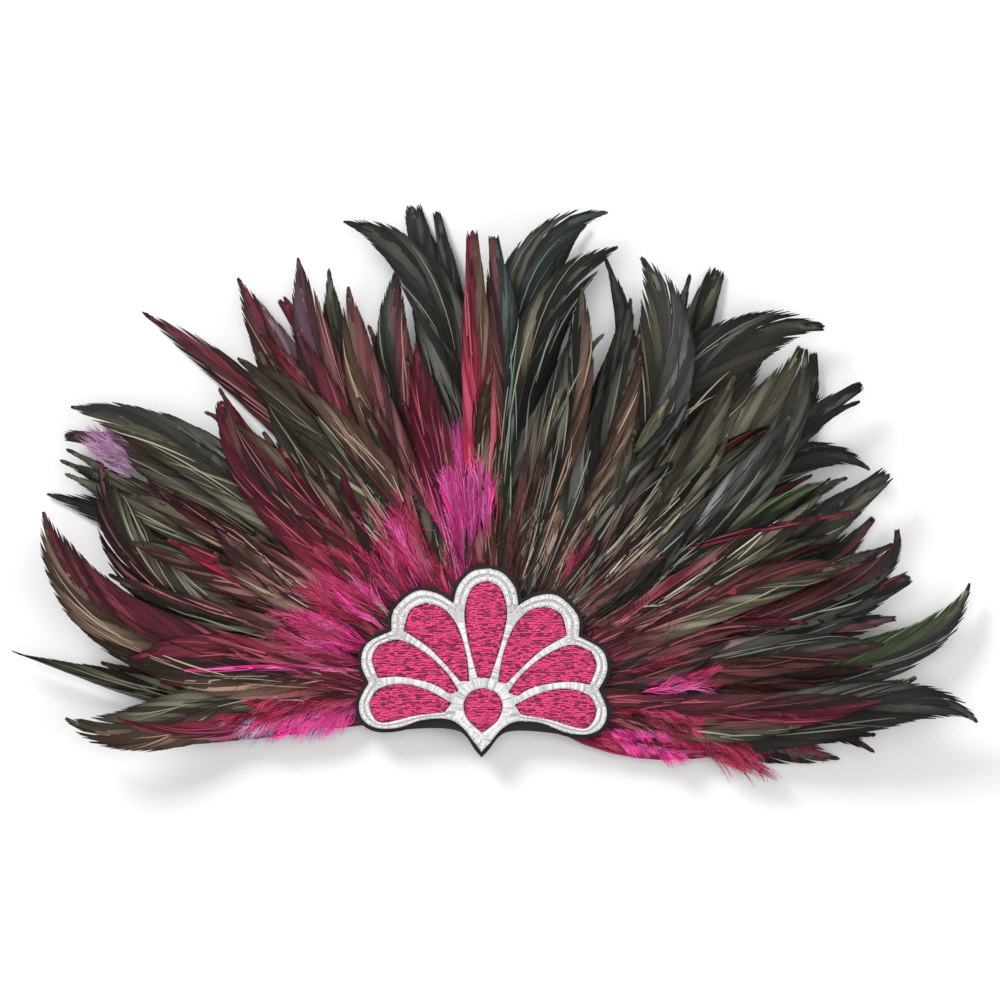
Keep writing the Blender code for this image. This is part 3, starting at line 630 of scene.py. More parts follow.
def fill_in(rows, name, values, kind):
    """Sets one value of every row of a mesh's table at once."""
    rows.foreach_set(name, values.ravel().astype(kind))


def placed(name, data, materials=()):
    """A new object in the scene, with its materials."""
    for material in materials:
        data.materials.append(material)
    made = bpy.data.objects.new(name, data)
    bpy.context.scene.collection.objects.link(made)
    return made


def unit(vectors, least=0.0):
    return vectors / (np.linalg.norm(vectors, axis=-1)[..., None] + least)


def column(chance, low, high, count):
    """A random number for each strand, ready to be spread over its points."""
    return chance.uniform(low, high, count)[:, None]


def heading(angle):
    """The unit vector in plan that points this many degrees clockwise from straight up."""
    turned = np.radians(angle)
    return np.stack([np.sin(turned), np.cos(turned)], axis=-1)


def band_height(row):
    return COMB_THICK + PIECE_GAP + BAND_THICK / 2 + (row - 1) * (BAND_THICK + PIECE_GAP)


def row_height(row, radius):
    """The height of a row's feathers over the floor. A row between two whole numbers lies between them."""
    lower = min(max(int(math.floor(row)), 1), len(ROWS) - 1)
    share = row - lower
    half = ROWS[lower].half * (1 - share) + ROWS[lower + 1].half * share
    full = ROWS[lower].full * (1 - share) + ROWS[lower + 1].full * share
    start = band_height(row)
    out = np.maximum(0.0, (radius - FLAT_RADIUS) / (FAN_REACH - FLAT_RADIUS))
    bend = 8 * (half - start) - (full - start)
    return start + bend * out ** 2 + (full - start - bend) * out ** 3


def wobble(chance, turns):
    """A smooth random wave along a feather, from -1 to 1."""
    phases, speeds = chance.uniform(0, math.tau, 3), chance.uniform(0.6, 1.4, 3) * turns

    def wave(share):
        return sum(np.sin(math.tau * speed * share + phase) for speed, phase in zip(speeds, phases)) / 3
    return wave


class Shaft:
    """A feather's curved middle line, with the directions across it and off it at every share of its length."""

    STEPS = 56
    LEAVING_BEND = 0.40
    SWAY = 0.0012
    PAST_TIP = 1.04

    def __init__(self, feather, lift, chance):
        t = np.linspace(0.0, 1.0, self.STEPS)[:, None]
        root = heading(feather.leave) * ROOT_RADIUS
        tip = heading(feather.toward) * FAN_REACH * feather.reach
        leaving = root + heading(feather.leave) * np.linalg.norm(tip - root) * self.LEAVING_BEND
        arriving = tip - heading(feather.arrive) * FAN_REACH * feather.bend
        plan = (1 - t) ** 3 * root + 3 * t * (1 - t) ** 2 * leaving + 3 * t * t * (1 - t) * arriving + t ** 3 * tip
        sway = wobble(chance, 1.2)(t[:, 0]) * self.SWAY * t[:, 0]
        points = np.empty((self.STEPS, 3))
        points[:, :2] = plan - [0.0, FAN_DROP]
        points[:, 2] = row_height(feather.row, np.linalg.norm(plan, axis=1)) + lift * t[:, 0] + sway
        travelled = np.concatenate([[0.0], np.cumsum(np.linalg.norm(np.diff(points, axis=0), axis=1))])
        self.length = travelled[-1]
        even = np.linspace(0.0, self.length, self.STEPS)
        self.points = np.stack([np.interp(even, travelled, points[:, axis]) for axis in range(3)], axis=1)
        ahead = unit(np.gradient(self.points, axis=0))
        side = unit(np.cross(ahead, [0.0, 0.0, 1.0]))
        above = np.cross(side, ahead)
        roll = np.radians(feather.roll + feather.twist * t ** 2) * np.minimum(1.0, t * 3)
        self.side = side * np.cos(roll) + above * np.sin(roll)
        self.above = above * np.cos(roll) - side * np.sin(roll)

    def at(self, share):
        """The point and the two directions at these shares of the length."""
        place = np.clip(share, 0.0, self.PAST_TIP) * (self.STEPS - 1)
        low = np.clip(np.floor(place).astype(int), 0, self.STEPS - 2)
        part = (place - low)[..., None]
        return [table[low] * (1 - part) + table[low + 1] * part for table in (self.points, self.side, self.above)]


def half_width(feather, share, full):
    """Half the vane's width at these shares of the length."""
    wide = np.interp(share, VANE_ALONG, VANE_WIDE)
    past = np.clip((share - BLUNT_FROM) / (1.0 - BLUNT_FROM), 0.0, 1.0)
    blunt = feather.blunt * (1.0 - BLUNT_TAPER * past)
    return np.where(share > BLUNT_FROM, np.maximum(wide, blunt), wide) * feather.width * full / 2


def clumps_of(count, chance):
    """Groups neighbouring barbs: the group of each barb and its place in the group, from -1 to 1."""
    group, place = np.zeros(count, dtype=int), np.zeros(count)
    start, number = 0, 0
    while start < count:
        size = min(int(chance.integers(*BARBS_IN_GROUP)), count - start)
        group[start:start + size] = number
        place[start:start + size] = (np.arange(size) + 0.5) / size * 2 - 1
        start, number = start + size, number + 1
    return group, place


def blend(first, second, share):
    return first + (second - first) * share[..., None]


def smooth_step(low, high, value):
    share = np.clip((value - low) / (high - low), 0.0, 1.0)
    return share * share * (3 - 2 * share)


def soaked(feather, share):
    """How much of the root's dye the vane took this share of the way along."""
    return 1.0 - smooth_step(feather.dye * 0.5, feather.dye * 1.15, share)


def plume(strips, feather, full, chance, settings, lift=0.0):
    """One feather: its shaft, the two vanes strand by strand and the loose down at its foot."""
    shaft = Shaft(feather, lift, chance)
    root = dyed(settings, feather.root)[0]
    value = math.exp(chance.normal(-0.1, 0.34))
    for side, name in ((-1, feather.left), (1, feather.right)):
        add_vane(strips, shaft, feather, full, side, name, value, chance, settings)
        add_wisps(strips, shaft, feather, full, side, name, chance, settings)
    add_shaft(strips, shaft, root, dyed(settings, feather.left)[0], settings)
    if abs(feather.toward) < FOOT_DOWN_WITHIN:
        add_foot_down(strips, shaft, root, chance)


def dyed(settings, name):
    """The body colour of a dye and its light colour, a painted highlight."""
    return np.array(getattr(settings, name)), np.array(getattr(settings, name + "_light"))


def lay_barbs(shaft, feather, full, side, chance, settings):
    """Places the barbs of one side. They leave the shaft, sweep forward and end along the vane's edge."""
    count = max(LEAST_BARBS, int(shaft.length * 0.9 / settings.barb_spacing))
    widest = max(feather.width * full / 2, LEAST_HALF_WIDTH)
    start = VANE_START + VANE_SPAN * (np.arange(count) + 0.5 + chance.uniform(-0.3, 0.3, count)) / count
    group, place = clumps_of(count, chance)
    groups = group[-1] + 1

    pull = 0.05 + 0.25 * chance.random(groups) ** 3 + feather.fray * chance.random(groups)
    pull = np.minimum(pull, MOST_PULL)[group]
    sweep = settings.forward * (1.0 - 0.25 * start) * chance.uniform(0.97, 1.03, count)
    ends = start + sweep - pull * place * np.bincount(group)[group] * 0.5 * VANE_SPAN / count
    over = np.clip((ends - 1.0) / sweep, 0.0, 1.0)
    ends = np.minimum(ends, 1.0 + chance.uniform(-0.01, 0.01, count) * (0.4 + feather.blunt))
    ends = np.maximum(ends, start + 0.006)
    fray = feather.fray * chance.random(groups)[group] * chance.random(count)
    reach = chance.uniform(0.97, 1.02, groups)[group] * chance.uniform(0.985, 1.015, count) * (1.0 - 0.45 * fray)
    kept = (chance.random(count) > (feather.fray - BARBS_DROP_FROM) * 0.8) | (start < 0.45)

    q = np.linspace(0.0, 1.0, BARB_POINTS)
    wide = half_width(feather, ends, full) * reach * (1.0 - over)
    share = start[:, None] + (ends - start)[:, None] * q ** 0.95
    off = wide[:, None] * np.sin(math.pi / 2 * q) ** 0.85
    along = np.gradient(share * shaft.length, axis=1)
    out = np.gradient(off, axis=1)
    norm = np.hypot(along, out) + 1e-9
    thick = shaft.length * VANE_SPAN / count * (0.66 - (0.2 + 0.35 * min(1.0, feather.fray)) * q)
    thick = thick * np.interp(q, (0.0, 0.8, 1.0), (1.0, 0.9, 0.12))
    share = share[..., None] - EDGES * (out / norm * thick)[..., None] / shaft.length
    off = off[..., None] + EDGES * (along / norm * thick)[..., None]
    off = np.maximum(off, -settings.quill_radius * 0.6)

    point, across, above = shaft.at(share)
    curl = settings.camber * chance.uniform(-0.3, 1.5)
    dome = settings.clump_height * np.sin(math.pi * np.minimum(q * 1.1, 1.0))[:, None]
    hump = dome * (1.0 - (place[:, None, None] + EDGES * 0.2) ** 2)
    ripple = wobble(chance, 3.0)
    rise = hump - curl * (off / widest) ** 2 + ripple(share) * RIPPLE * off / widest
    rise = rise + chance.uniform(-0.0001, 0.0001, count)[:, None, None]
    places = point + across * (side * off)[..., None] + above * rise[..., None]
    return Barbs(group, place, share, q), places, kept


def tint_barbs(barbs, feather, name, value, chance, settings):
    """The colour at each point of the barbs: dyed near the root, a painted highlight in some groups, painted shade
    between groups and near the shaft, dark at the rim and tip.
    """
    group, place, share, q = barbs
    count, groups = len(group), group[-1] + 1
    level = np.exp(chance.normal(-0.14, 0.5, groups))[group] * chance.uniform(0.8, 1.2, count) * value
    # Painted shade between groups: strands darker towards the two edges of each group
    level = np.minimum(level, BRIGHTEST) * (1.1 - 0.65 * place ** 2)
    # Painted highlight: lit groups, a few single strands and a faint glint are blended towards the lit colour, most
    # in each strand's middle and less towards the tip
    lit = np.where(chance.random(groups) < settings.lit_share, chance.uniform(0.4, 1.0, groups), 0.0)[group]
    lit = np.maximum(lit * (1.0 - place ** 2), 0.8 * (chance.random(count) < 0.08))
    glint = wobble(chance, 1.6)
    middle = np.sin(math.pi * np.clip(q * 0.95 + 0.02, 0.0, 1.0))[:, None] ** 1.5
    dark_tip = 1.0 - 0.6 * smooth_step(0.55, 0.9, share)
    shine = middle * dark_tip * (lit[:, None, None] * 0.9 + 0.15 * np.clip(glint(share), 0.0, 1.0))
    level = level[:, None, None, None]
    vane, root = (blend(np.broadcast_to(body, (*share.shape, 3)) * level, light, shine)
                  for body, light in (dyed(settings, name), dyed(settings, feather.root)))
    streak = wobble(chance, 2.0)
    colour_and_painted_light = blend(vane, root, soaked(feather, share + 0.10 * streak(share) + (level[..., 0] - 0.9) * 0.12))
    rim = 1.0 - 0.6 * smooth_step(0.8, 1.0, q)[:, None]
    # Painted shade near the shaft: each strand darker at its foot
    painted_shaft_shade = 0.38 + 0.62 * smooth_step(0.0, 0.25, q)[:, None]
    return colour_and_painted_light * (rim * painted_shaft_shade * (0.6 + 0.4 * dark_tip))[..., None]


def add_vane(strips, shaft, feather, full, side, name, value, chance, settings):
    """One side of a feather, strand by strand."""
    barbs, places, kept = lay_barbs(shaft, feather, full, side, chance, settings)
    colour_and_painted_light = tint_barbs(barbs, feather, name, value, chance, settings)
    strips.add(places[kept], colour_and_painted_light[kept], chance.random(len(kept))[kept])


def add_wisps(strips, shaft, feather, full, side, name, chance, settings):
    """Strands that have come loose and lie over the vane, nearly along the shaft."""
    count = settings.wisps
    q = np.linspace(0.0, 1.0, WISP_POINTS)
    share = column(chance, 0.12, 0.72, count) + column(chance, 0.1, 0.26, count) * q
    widest = feather.width * full / 2
    near, far = chance.uniform(0.0, 0.6, (2, count))
    off = np.minimum(widest * (near[:, None] + (far - near + 0.25)[:, None] * q),
                     half_width(feather, share, full) * 0.9)
    slim = settings.wisp_width / 2 * column(chance, 0.4, 1.3, count) * np.sin(math.pi * (0.08 + 0.9 * q)) ** 0.8
    off = off[..., None] + EDGES * slim[..., None]
    point, across, above = shaft.at(np.broadcast_to(share[..., None], off.shape))
    lift = chance.uniform(0.0003, 0.0012, count)[:, None, None] * np.sin(math.pi * q)[:, None]
    rise = lift + settings.clump_height - settings.camber * 0.5 * (off / widest) ** 2
    places = point + across * (side * off)[..., None] + above * rise[..., None]

    # Over half of the loose strands take the dye's lit colour, a painted highlight
    bright = (chance.random(count) < 0.55)[:, None, None]
    shades = []
    for dye, dim in ((name, 0.35), (feather.root, 0.5)):
        body, light = dyed(settings, dye)
        shades.append(np.where(bright, light, body * dim) * chance.uniform(0.6, 1.1, (count, 1, 1)))
    colour_and_painted_light = blend(*shades, soaked(feather, share))[:, :, None]
    strips.add(places, colour_and_painted_light, chance.random(count))


def add_shaft(strips, shaft, root, vane, settings):
    """The tapered shaft, as a tube of four sides."""
    share = np.linspace(0.0, 0.985, QUILL_POINTS)
    point, across, above = shaft.at(share)
    turn = np.linspace(0.0, math.tau, QUILL_SIDES + 1)
    radius = settings.quill_radius * (1.0 - 0.82 * share)
    ring = across[:, None] * np.cos(turn)[:, None] + above[:, None] * np.sin(turn)[:, None]
    places = point[:, None] + ring * radius[:, None, None] + above[:, None] * (radius * 0.4)[:, None, None]
    colour_and_painted_light = blend(np.broadcast_to(root, places.shape), vane, np.repeat(share[:, None], len(turn), axis=1))
    strips.add(places[None], colour_and_painted_light[None], [0.5])


def add_foot_down(strips, shaft, shade, chance):
    """Loose curly strands at the foot of a feather."""
    count = FOOT_STRANDS
    q = np.linspace(0.0, 1.0, FOOT_POINTS)
    start = column(chance, 0.10, 0.42, count)
    side = chance.choice([-1.0, 1.0], count)[:, None]
    size = column(chance, 0.007, 0.016, count)
    angle = np.radians(column(chance, 20, 70, count))
    share = start + size * np.cos(angle) * q / shaft.length
    wander = np.sin(q * column(chance, 3, 8, count) + column(chance, 0, 6, count)) * FOOT_CURL * q
    off = side * (size * np.sin(angle) * q) + wander
    rise = column(chance, -0.001, 0.003, count) * q ** 1.3
    edge = EDGES * FOOT_HALF_WIDTH * (1 - 0.5 * q[:, None])
    point, across, above = shaft.at(share[..., None] + edge / shaft.length)
    places = point + across * (off[..., None] + edge)[..., None] + above * rise[..., None, None]
    colour_and_painted_light = shade * chance.uniform(0.7, 1.3, count)[:, None, None, None]
    strips.add(places, colour_and_painted_light, chance.random(count))


def sewn_band(strips, row, shade):
    """The flat tape that a row is sewn to."""
    angle = np.radians(np.linspace(-BAND_HALF_ANGLE, BAND_HALF_ANGLE, BAND_POINTS))
    middle, half = band_height(row), BAND_THICK / 2
    corners = ((BAND_INNER, -half), (BAND_OUTER, -half), (BAND_OUTER, half), (BAND_INNER, half))
    radius, height = np.array([*corners, corners[0]]).T
    x = np.sin(angle)[:, None] * radius
    y = np.cos(angle)[:, None] * radius - FAN_DROP
    places = np.stack(np.broadcast_arrays(x, y, middle + height), axis=-1)
    strips.add(places[None], np.array(shade), [0.5], slot=1)


def fillers(row):
    """The short feathers of this row, drawn at random in each zone of the fan."""
    found = []
    for number, zone in enumerate(ZONES):
        chance = np.random.default_rng(FILLER_SEED + number)
        for index in range(zone.count):
            toward = zone.start + (zone.end - zone.start) * (index + chance.uniform(0.1, 0.9)) / zone.count
            leave = toward * chance.uniform(0.94, 1.04) + chance.uniform(-5, 5)
            arrive = toward + chance.uniform(-34, 34)
            level = 1 + (len(ROWS) - 1) * chance.random()
            feather = Feather(
                row=level, leave=leave, reach=chance.uniform(zone.near, zone.far), toward=toward, arrive=arrive,
                bend=chance.uniform(0.12, 0.28), width=chance.uniform(0.55, 1.15),
                blunt=chance.choice([0.0, 0.0, 0.3]), left=str(chance.choice(zone.colours)),
                right=str(chance.choice(zone.colours)), root=str(chance.choice(zone.roots)),
                dye=chance.uniform(0.35, 0.75), roll=chance.uniform(-38, 38), twist=chance.uniform(-25, 25),
                fray=chance.uniform(0.0, 0.35))
            if int(round(level)) == row:
                found.append(feather)
    return found


def dress(piece, node):
    """Makes a piece stand for a solid and move with the headdress."""
    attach(piece, BODY)
    if node:
        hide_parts(node)


class HEADDRESS_OT_feather_row(Operator):
    """Builds one row of feathers, strand by strand, on its sewn tape"""
    bl_idname = "headdress.feather_row"
    bl_label = "Feather row"

    row: IntProperty(name="Row", description="The row, counted from the back", default=1, min=1, max=len(ROWS))

    def execute(self, context):
        settings = context.scene.headdress_feathers
        strips = Strips()
        chance = np.random.default_rng(self.row)
        for feather in (f for f in FEATHERS if f.row == self.row):
            plume(strips, feather, settings.blade_width, chance, settings)
        for feather in fillers(self.row):
            plume(strips, feather, settings.filler_width, chance, settings, chance.uniform(-0.001, 0.0015))
        sewn_band(strips, self.row, settings.tape)
        finishes = [shared("cock_feather", feather_finish), shared("sewn_tape", tape_finish)]
        dress(strips.make(f"feathers_{self.row}", finishes), f"feather_row_{self.row}")
        return {"FINISHED"}


def tape_finish():
    return cloth_finish("sewn_tape", bpy.context.scene.headdress_feathers.tape, 0.0006)


def shared(name, maker):
    """The material of this name, made once."""
    return bpy.data.materials.get(name) or maker()


def tuft(strips, group, shades, settings, chance):
    """A tuft of down, a short soft plume: its strands gather in locks that leave its middle on both sides."""
    angle = chance.uniform(group.start, group.end)
    radius = FAN_REACH * chance.uniform(group.near, group.far)
    size = FAN_REACH * group.length * chance.uniform(0.7, 1.2)
    count, locks = settings.strands, settings.locks
    lock = chance.integers(0, locks, count)
    q = np.linspace(0.0, 1.0, WISP_POINTS)
    foot = (chance.uniform(0.0, 0.75, locks)[lock] + chance.uniform(-0.1, 0.1, count))[:, None] * size
    lean = (chance.choice([-1.0, 1.0], locks) * chance.uniform(0, 14, locks))[lock]
    turn = np.radians(angle + group.swing + lean + chance.normal(0, 4, count))[:, None]
    length = size * column(chance, 0.4, 0.9, locks)[lock] * column(chance, 0.8, 1.1, count)
    bow = -np.sign(lean)[:, None] * np.radians(column(chance, -5, 25, locks)[lock]) * q
    curl = settings.curl * column(chance, 0.1, 1.0, count) * q
    wave = np.sin(q * column(chance, 2, 6, count) + column(chance, 0, 3, locks)[lock]) * curl
    wave = wave + chance.normal(0.0, settings.curl * 0.4, count)[:, None] * np.sin(math.pi * q)

    ahead = heading(angle)
    x = ahead[0] * (radius + foot) + np.sin(turn + bow) * length * q + np.cos(turn) * wave
    y = ahead[1] * (radius + foot) + np.cos(turn + bow) * length * q - np.sin(turn) * wave - FAN_DROP
    height = group.lift * (1 - q * 0.5) + column(chance, -0.001, 0.002, count) * q + np.abs(wave) * 0.3
    base = np.interp(radius, DOWN_RADII, (band_height(len(ROWS)), DOWN_RIM_HEIGHT)) + chance.uniform(-0.003, 0.001)
    middle = np.stack(np.broadcast_arrays(x, y, base + height), axis=-1)
    side = unit(np.cross(np.gradient(middle, axis=1), [0.0, 0.0, 1.0]), 1e-9)
    thin = settings.strand_width / 2 * (1.0 - 0.8 * q)[:, None, None]
    places = middle[:, :, None] + side[:, :, None] * thin * EDGES[:, None]

    body, light = shades
    level = np.exp(chance.normal(-0.1, 0.45, locks))[lock] * chance.uniform(0.8, 1.2, count)
    # Each lock's strands are blended by some share towards the dye's lit colour, a painted highlight
    bright = np.clip(chance.uniform(-0.4, 0.9, locks)[lock] + chance.uniform(-0.2, 0.2, count), 0.0, 1.0)
    colour_and_painted_light = blend(np.array(body) * level[:, None], light, bright)
    colour_and_painted_light = colour_and_painted_light[:, None, None] * (0.4 + 0.6 * smooth_step(0.0, 0.5, q))[:, None, None]
    strips.add(places, colour_and_painted_light, chance.random(count))


class HEADDRESS_OT_down_collar(Operator):
    """Builds the fluffy down round the patch"""
    bl_idname = "headdress.down_collar"
    bl_label = "Down collar"

    def execute(self, context):
        scene = context.scene
        strips = Strips()
        chance = np.random.default_rng(DOWN_SEED)
        for group in TUFTS:
            shades = dyed(scene.headdress_feathers, group.colour)
            for _ in range(group.count):
                tuft(strips, group, shades, scene.headdress_down, chance)
        dress(strips.make("down", [down_finish()]), "down_collar")
        return {"FINISHED"}


def rims_of(node):
    """The closed outlines of a flat solid's top, the longest one first, as points in plan, and the top's height."""
    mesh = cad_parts[node].data
    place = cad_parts[node].matrix_world
    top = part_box(node)[1][2]
    at = [tuple(round(c, SAME_POINT) for c in place @ vertex.co) for vertex in mesh.vertices]
    seen = set()
    for face in mesh.polygons:
        corners = [at[i] for i in face.vertices]
        if all(abs(corner[2] - top) < LEVEL for corner in corners):
            seen.update(zip(corners, corners[1:] + corners[:1]))
    follows = {a: b for a, b in seen if (b, a) not in seen}
    loops = []
    while follows:
        here = min(follows)
        loop = []
        while here in follows:
            loop.append(here[:2])
            here = follows.pop(here)
        loops.append(np.array(loop))
    loops.sort(key=lambda loop: -np.linalg.norm(np.diff(loop, axis=0), axis=1).sum())
    return loops, top


def along_loop(loop, pitch):
    """Points spaced evenly along a closed outline, with the direction to its left at each."""
    closed = np.vstack([loop, loop[:1]])
    travelled = np.concatenate([[0.0], np.cumsum(np.linalg.norm(np.diff(closed, axis=0), axis=1))])
    where = np.linspace(0.0, travelled[-1], int(travelled[-1] / pitch), endpoint=False)
    points = np.stack([np.interp(where, travelled, closed[:, axis]) for axis in range(2)], axis=1)
    soft = max(2, int(CORNER_SOFTNESS / pitch))
    ahead = unit(np.roll(points, -soft, axis=0) - np.roll(points, soft, axis=0))
    return points, np.stack([-ahead[:, 1], ahead[:, 0]], axis=1)


def first_hit(points, ways, loops):
    """How far each ray goes until it meets one of the outlines, and which one it meets."""
    best = np.full(len(points), np.inf)
    which = np.full(len(points), -1)
    for number, loop in enumerate(loops):
        start, end = loop, np.roll(loop, -1, axis=0)
        edge = end - start
        gap = start[None] - points[:, None]
        cross = ways[:, None, 0] * edge[None, :, 1] - ways[:, None, 1] * edge[None, :, 0]
        cross = np.where(np.abs(cross) < 1e-12, 1e-12, cross)
        far = (gap[..., 0] * edge[None, :, 1] - gap[..., 1] * edge[None, :, 0]) / cross
        part = (gap[..., 0] * ways[:, None, 1] - gap[..., 1] * ways[:, None, 0]) / cross
        far = np.where((part >= 0) & (part <= 1) & (far > 2e-4), far, np.inf).min(axis=1)
        which = np.where(far < best, number, which)
        best = np.minimum(best, far)
    return best, which


def satin(strips, points, ways, widths, heights, settings, chance, split=False, slot=0):
    """Satin stitches side by side, each one a thread laid from a point across the border."""
    count, thread = len(points), settings.thread
    bottom, top = heights
    q = np.linspace(0.0, 1.0, SATIN_POINTS)
    crown = (1.0 - np.abs(2 * q - 1) ** 5) ** 0.45
    if split:
        crown = crown * (1.0 - 0.35 * np.exp(-((q - 0.5) / 0.07) ** 2))
    reach = -SATIN_OVERHANG + (widths[:, None] + 2 * SATIN_OVERHANG) * q
    ahead = np.stack([ways[:, 1], -ways[:, 0]], axis=1)[:, None, None, :]
    jitter = chance.normal(0.0, 0.00004, (count, 1, 1, 1))
    middle = points[:, None, :] + ways[:, None, :] * reach[..., None]
    plan = middle[:, :, None, :] + ahead * (THREAD_SIDES * thread / 2)[:, None] + ahead * jitter
    crest = (1.0 - THREAD_SIDES ** 2) * thread * 0.42
    height = bottom + (top - bottom) * crown[:, None] + crest * (0.3 + 0.7 * crown)[:, None]
    height = np.broadcast_to(height + chance.uniform(-0.00005, 0.00005, (count, 1, 1)), plan.shape[:3])
    places = np.concatenate([plan, height[..., None]], axis=-1)
    strips.add(places, np.array(settings.silver_thread), chance.random(count), slot)


class HEADDRESS_OT_silver_border(Operator):
    """Lays the silver satin stitches over the border's rim, ribs and ring"""
    bl_idname = "headdress.silver_border"
    bl_label = "Silver border"

    def execute(self, context):
        settings = context.scene.headdress_patch
        node = "silver_border"
        loops, top = rims_of(node)
        rim, holes = loops[0], loops[1:]
        outlines = [*holes, rim]
        foot = [rim[:, 0].mean(), rim[:, 1].min()]
        drop = min(range(len(holes)), key=lambda i: np.linalg.norm(holes[i].mean(axis=0) - foot))
        bottom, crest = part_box(node)[0][2], top + SATIN_CREST
        chance = np.random.default_rng(BORDER_SEED)
        strips = Strips()
        for number, hole in enumerate(holes):
            points, ways = along_loop(hole, settings.satin_pitch)
            inward = hole.mean(axis=0) - points
            ways = np.where((ways * inward).sum(axis=1)[:, None] > 0, -ways, ways)
            others = [index for index in range(len(outlines)) if index != number]
            far, which = first_hit(points, ways, [outlines[index] for index in others])
            if number == drop:
                chosen = far < np.inf
                widths = np.minimum(far, settings.satin_width * RING_SHARE)
            else:
                met = np.array(others)[which]
                chosen = (met > number) & (met < len(holes)) & (met != drop)
                chosen = chosen & (far < settings.satin_width * RIB_SHARE)
                widths = far
            satin(strips, points[chosen], ways[chosen], widths[chosen], (bottom, crest), settings, chance)
        points, ways = along_loop(rim, settings.satin_pitch)
        far, _ = first_hit(points, ways, holes)
        if np.median(far) > settings.satin_width * 4:
            ways = -ways
            far, _ = first_hit(points, ways, holes)
        widths = np.minimum(far, settings.satin_width)
        satin(strips, points, ways, widths, (bottom, crest + RIM_EXTRA), settings, chance, split=True, slot=1)
        fill(strips, loops, top - UNDER_FILL, settings, settings.silver_thread, chance)

        # The dark colour that the silver threads are mixed towards at their sides as painted shade, and in the seam's
        # dark spots
        groove = [c * 0.1 for c in settings.silver_thread]
        finishes = [thread_finish(name, settings.silver_thread, groove, 0.8, seam, Metallic=0.2, Roughness=0.4)
                    for name, seam in (("silver_satin", 0.0), ("silver_rim", 1.0))]
        dress(strips.make("silver_stitches", finishes), None)
        cover(node, cloth_finish("silver_underlay", [c * 0.55 for c in settings.silver_thread], 0.0004))
        return {"FINISHED"}


def cover(node, finish):
    """Gives a solid that stays in sight its material."""
    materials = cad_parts[node].data.materials
    materials.clear()
    materials.append(finish)


def fill_rows(loops, pitch, stitch, chance):
    """Brick-laid stitches that fill an outline and leave its holes, in level rows: the two ends of each one."""
    found = []
    start = np.concatenate(loops)
    end = np.concatenate([np.roll(loop, -1, axis=0) for loop in loops])
    for number, y in enumerate(np.arange(start[:, 1].min() + pitch / 2, start[:, 1].max(), pitch)):
        crossing = (start[:, 1] > y) != (end[:, 1] > y)
        a, b = start[crossing], end[crossing]
        xs = np.sort(a[:, 0] + (y - a[:, 1]) * (b[:, 0] - a[:, 0]) / (b[:, 1] - a[:, 1]))
        for left, right in zip(xs[::2], xs[1::2]):
            here = left - stitch * ((number * 0.37) % 1.0)
            while here < right:
                after = here + stitch * chance.uniform(0.75, 1.25)
                first, last = max(here, left), min(after, right)
                if last - first > pitch:
                    found.append((first, last, y))
                here = after
    return np.array(found)


def fill(strips, loops, top, settings, shade, chance):
    """Fill stitch over a flat solid's top."""
    rows = fill_rows(loops, settings.fill_pitch, settings.fill_stitch, chance)
    count = len(rows)
    q = np.linspace(0.0, 1.0, FILL_POINTS)
    x = rows[:, 0, None] + (rows[:, 1] - rows[:, 0])[:, None] * q
    y = rows[:, 2, None] + chance.normal(0.0, 0.00009, (count, 1))
    y = y + chance.normal(0.0, 0.00012, (count, 1)) * (q - 0.5)
    rise = chance.uniform(0.6, 1.3, (count, 1)) * np.sin(math.pi * q) ** 0.5 * settings.thread * 0.5
    height = top - 0.00006 + rise[..., None] + (1 - THREAD_SIDES ** 2) * settings.thread * 0.3
    across = y[..., None] + THREAD_SIDES * settings.thread / 2
    places = np.stack(np.broadcast_arrays(x[..., None], across, height), axis=-1)
    strips.add(places, np.array(shade), chance.random(count))


class HEADDRESS_OT_petals(Operator):
    """Fills the petals and the drop with brick-laid stitches"""
    bl_idname = "headdress.petals"
    bl_label = "Petals and drop"

    def execute(self, context):
        settings = context.scene.headdress_patch
        finish = thread_finish("magenta_fill", settings.magenta_thread, settings.dark_thread_and_shade, 2.0, Roughness=0.45)
        ground = cloth_finish("magenta_ground", settings.dark_thread_and_shade, 0.0004, 1.2)
        chance = np.random.default_rng(PETAL_SEED)
        for node in sorted(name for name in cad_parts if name.startswith("petal_") or name == "centre_drop"):
            loops, top = rims_of(node)
            strips = Strips()
            fill(strips, loops, top, settings, settings.magenta_thread, chance)
            dress(strips.make(node + "_stitches", [finish]), None)
            cover(node, ground)
        return {"FINISHED"}


def sharp_level_edges(mesh):
    """The level edges at which two faces meet at a sharp angle."""
    return [edge for edge in mesh.edges if edge.is_manifold and edge.calc_face_angle(0.0) > SHARP
            and abs((edge.verts[0].co - edge.verts[1].co).z) < LEVEL]


def rounded_copy(node, name, width, finish):
    """A solid's own form with its edges rounded, in its place."""
    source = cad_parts[node]
    mesh = bmesh.new()
    mesh.from_mesh(source.data)
    bmesh.ops.remove_doubles(mesh, verts=mesh.verts, dist=1e-6)
    sharp = set(sharp_level_edges(mesh))
    bmesh.ops.dissolve_limit(mesh, angle_limit=math.radians(0.5), verts=mesh.verts,
                             edges=[edge for edge in mesh.edges if edge not in sharp])
    bmesh.ops.bevel(mesh, geom=sharp_level_edges(mesh), offset=width, segments=3, profile=0.5, affect="EDGES",
                    clamp_overlap=True)
    bmesh.ops.triangulate(mesh, faces=[face for face in mesh.faces if len(face.verts) > 4])
    data = bpy.data.meshes.new(name)
    mesh.to_mesh(data)
    mesh.free()
    data.transform(source.matrix_world)
    data.shade_smooth()
    data.set_sharp_from_angle(angle=math.radians(40))
    return placed(name, data, [finish])


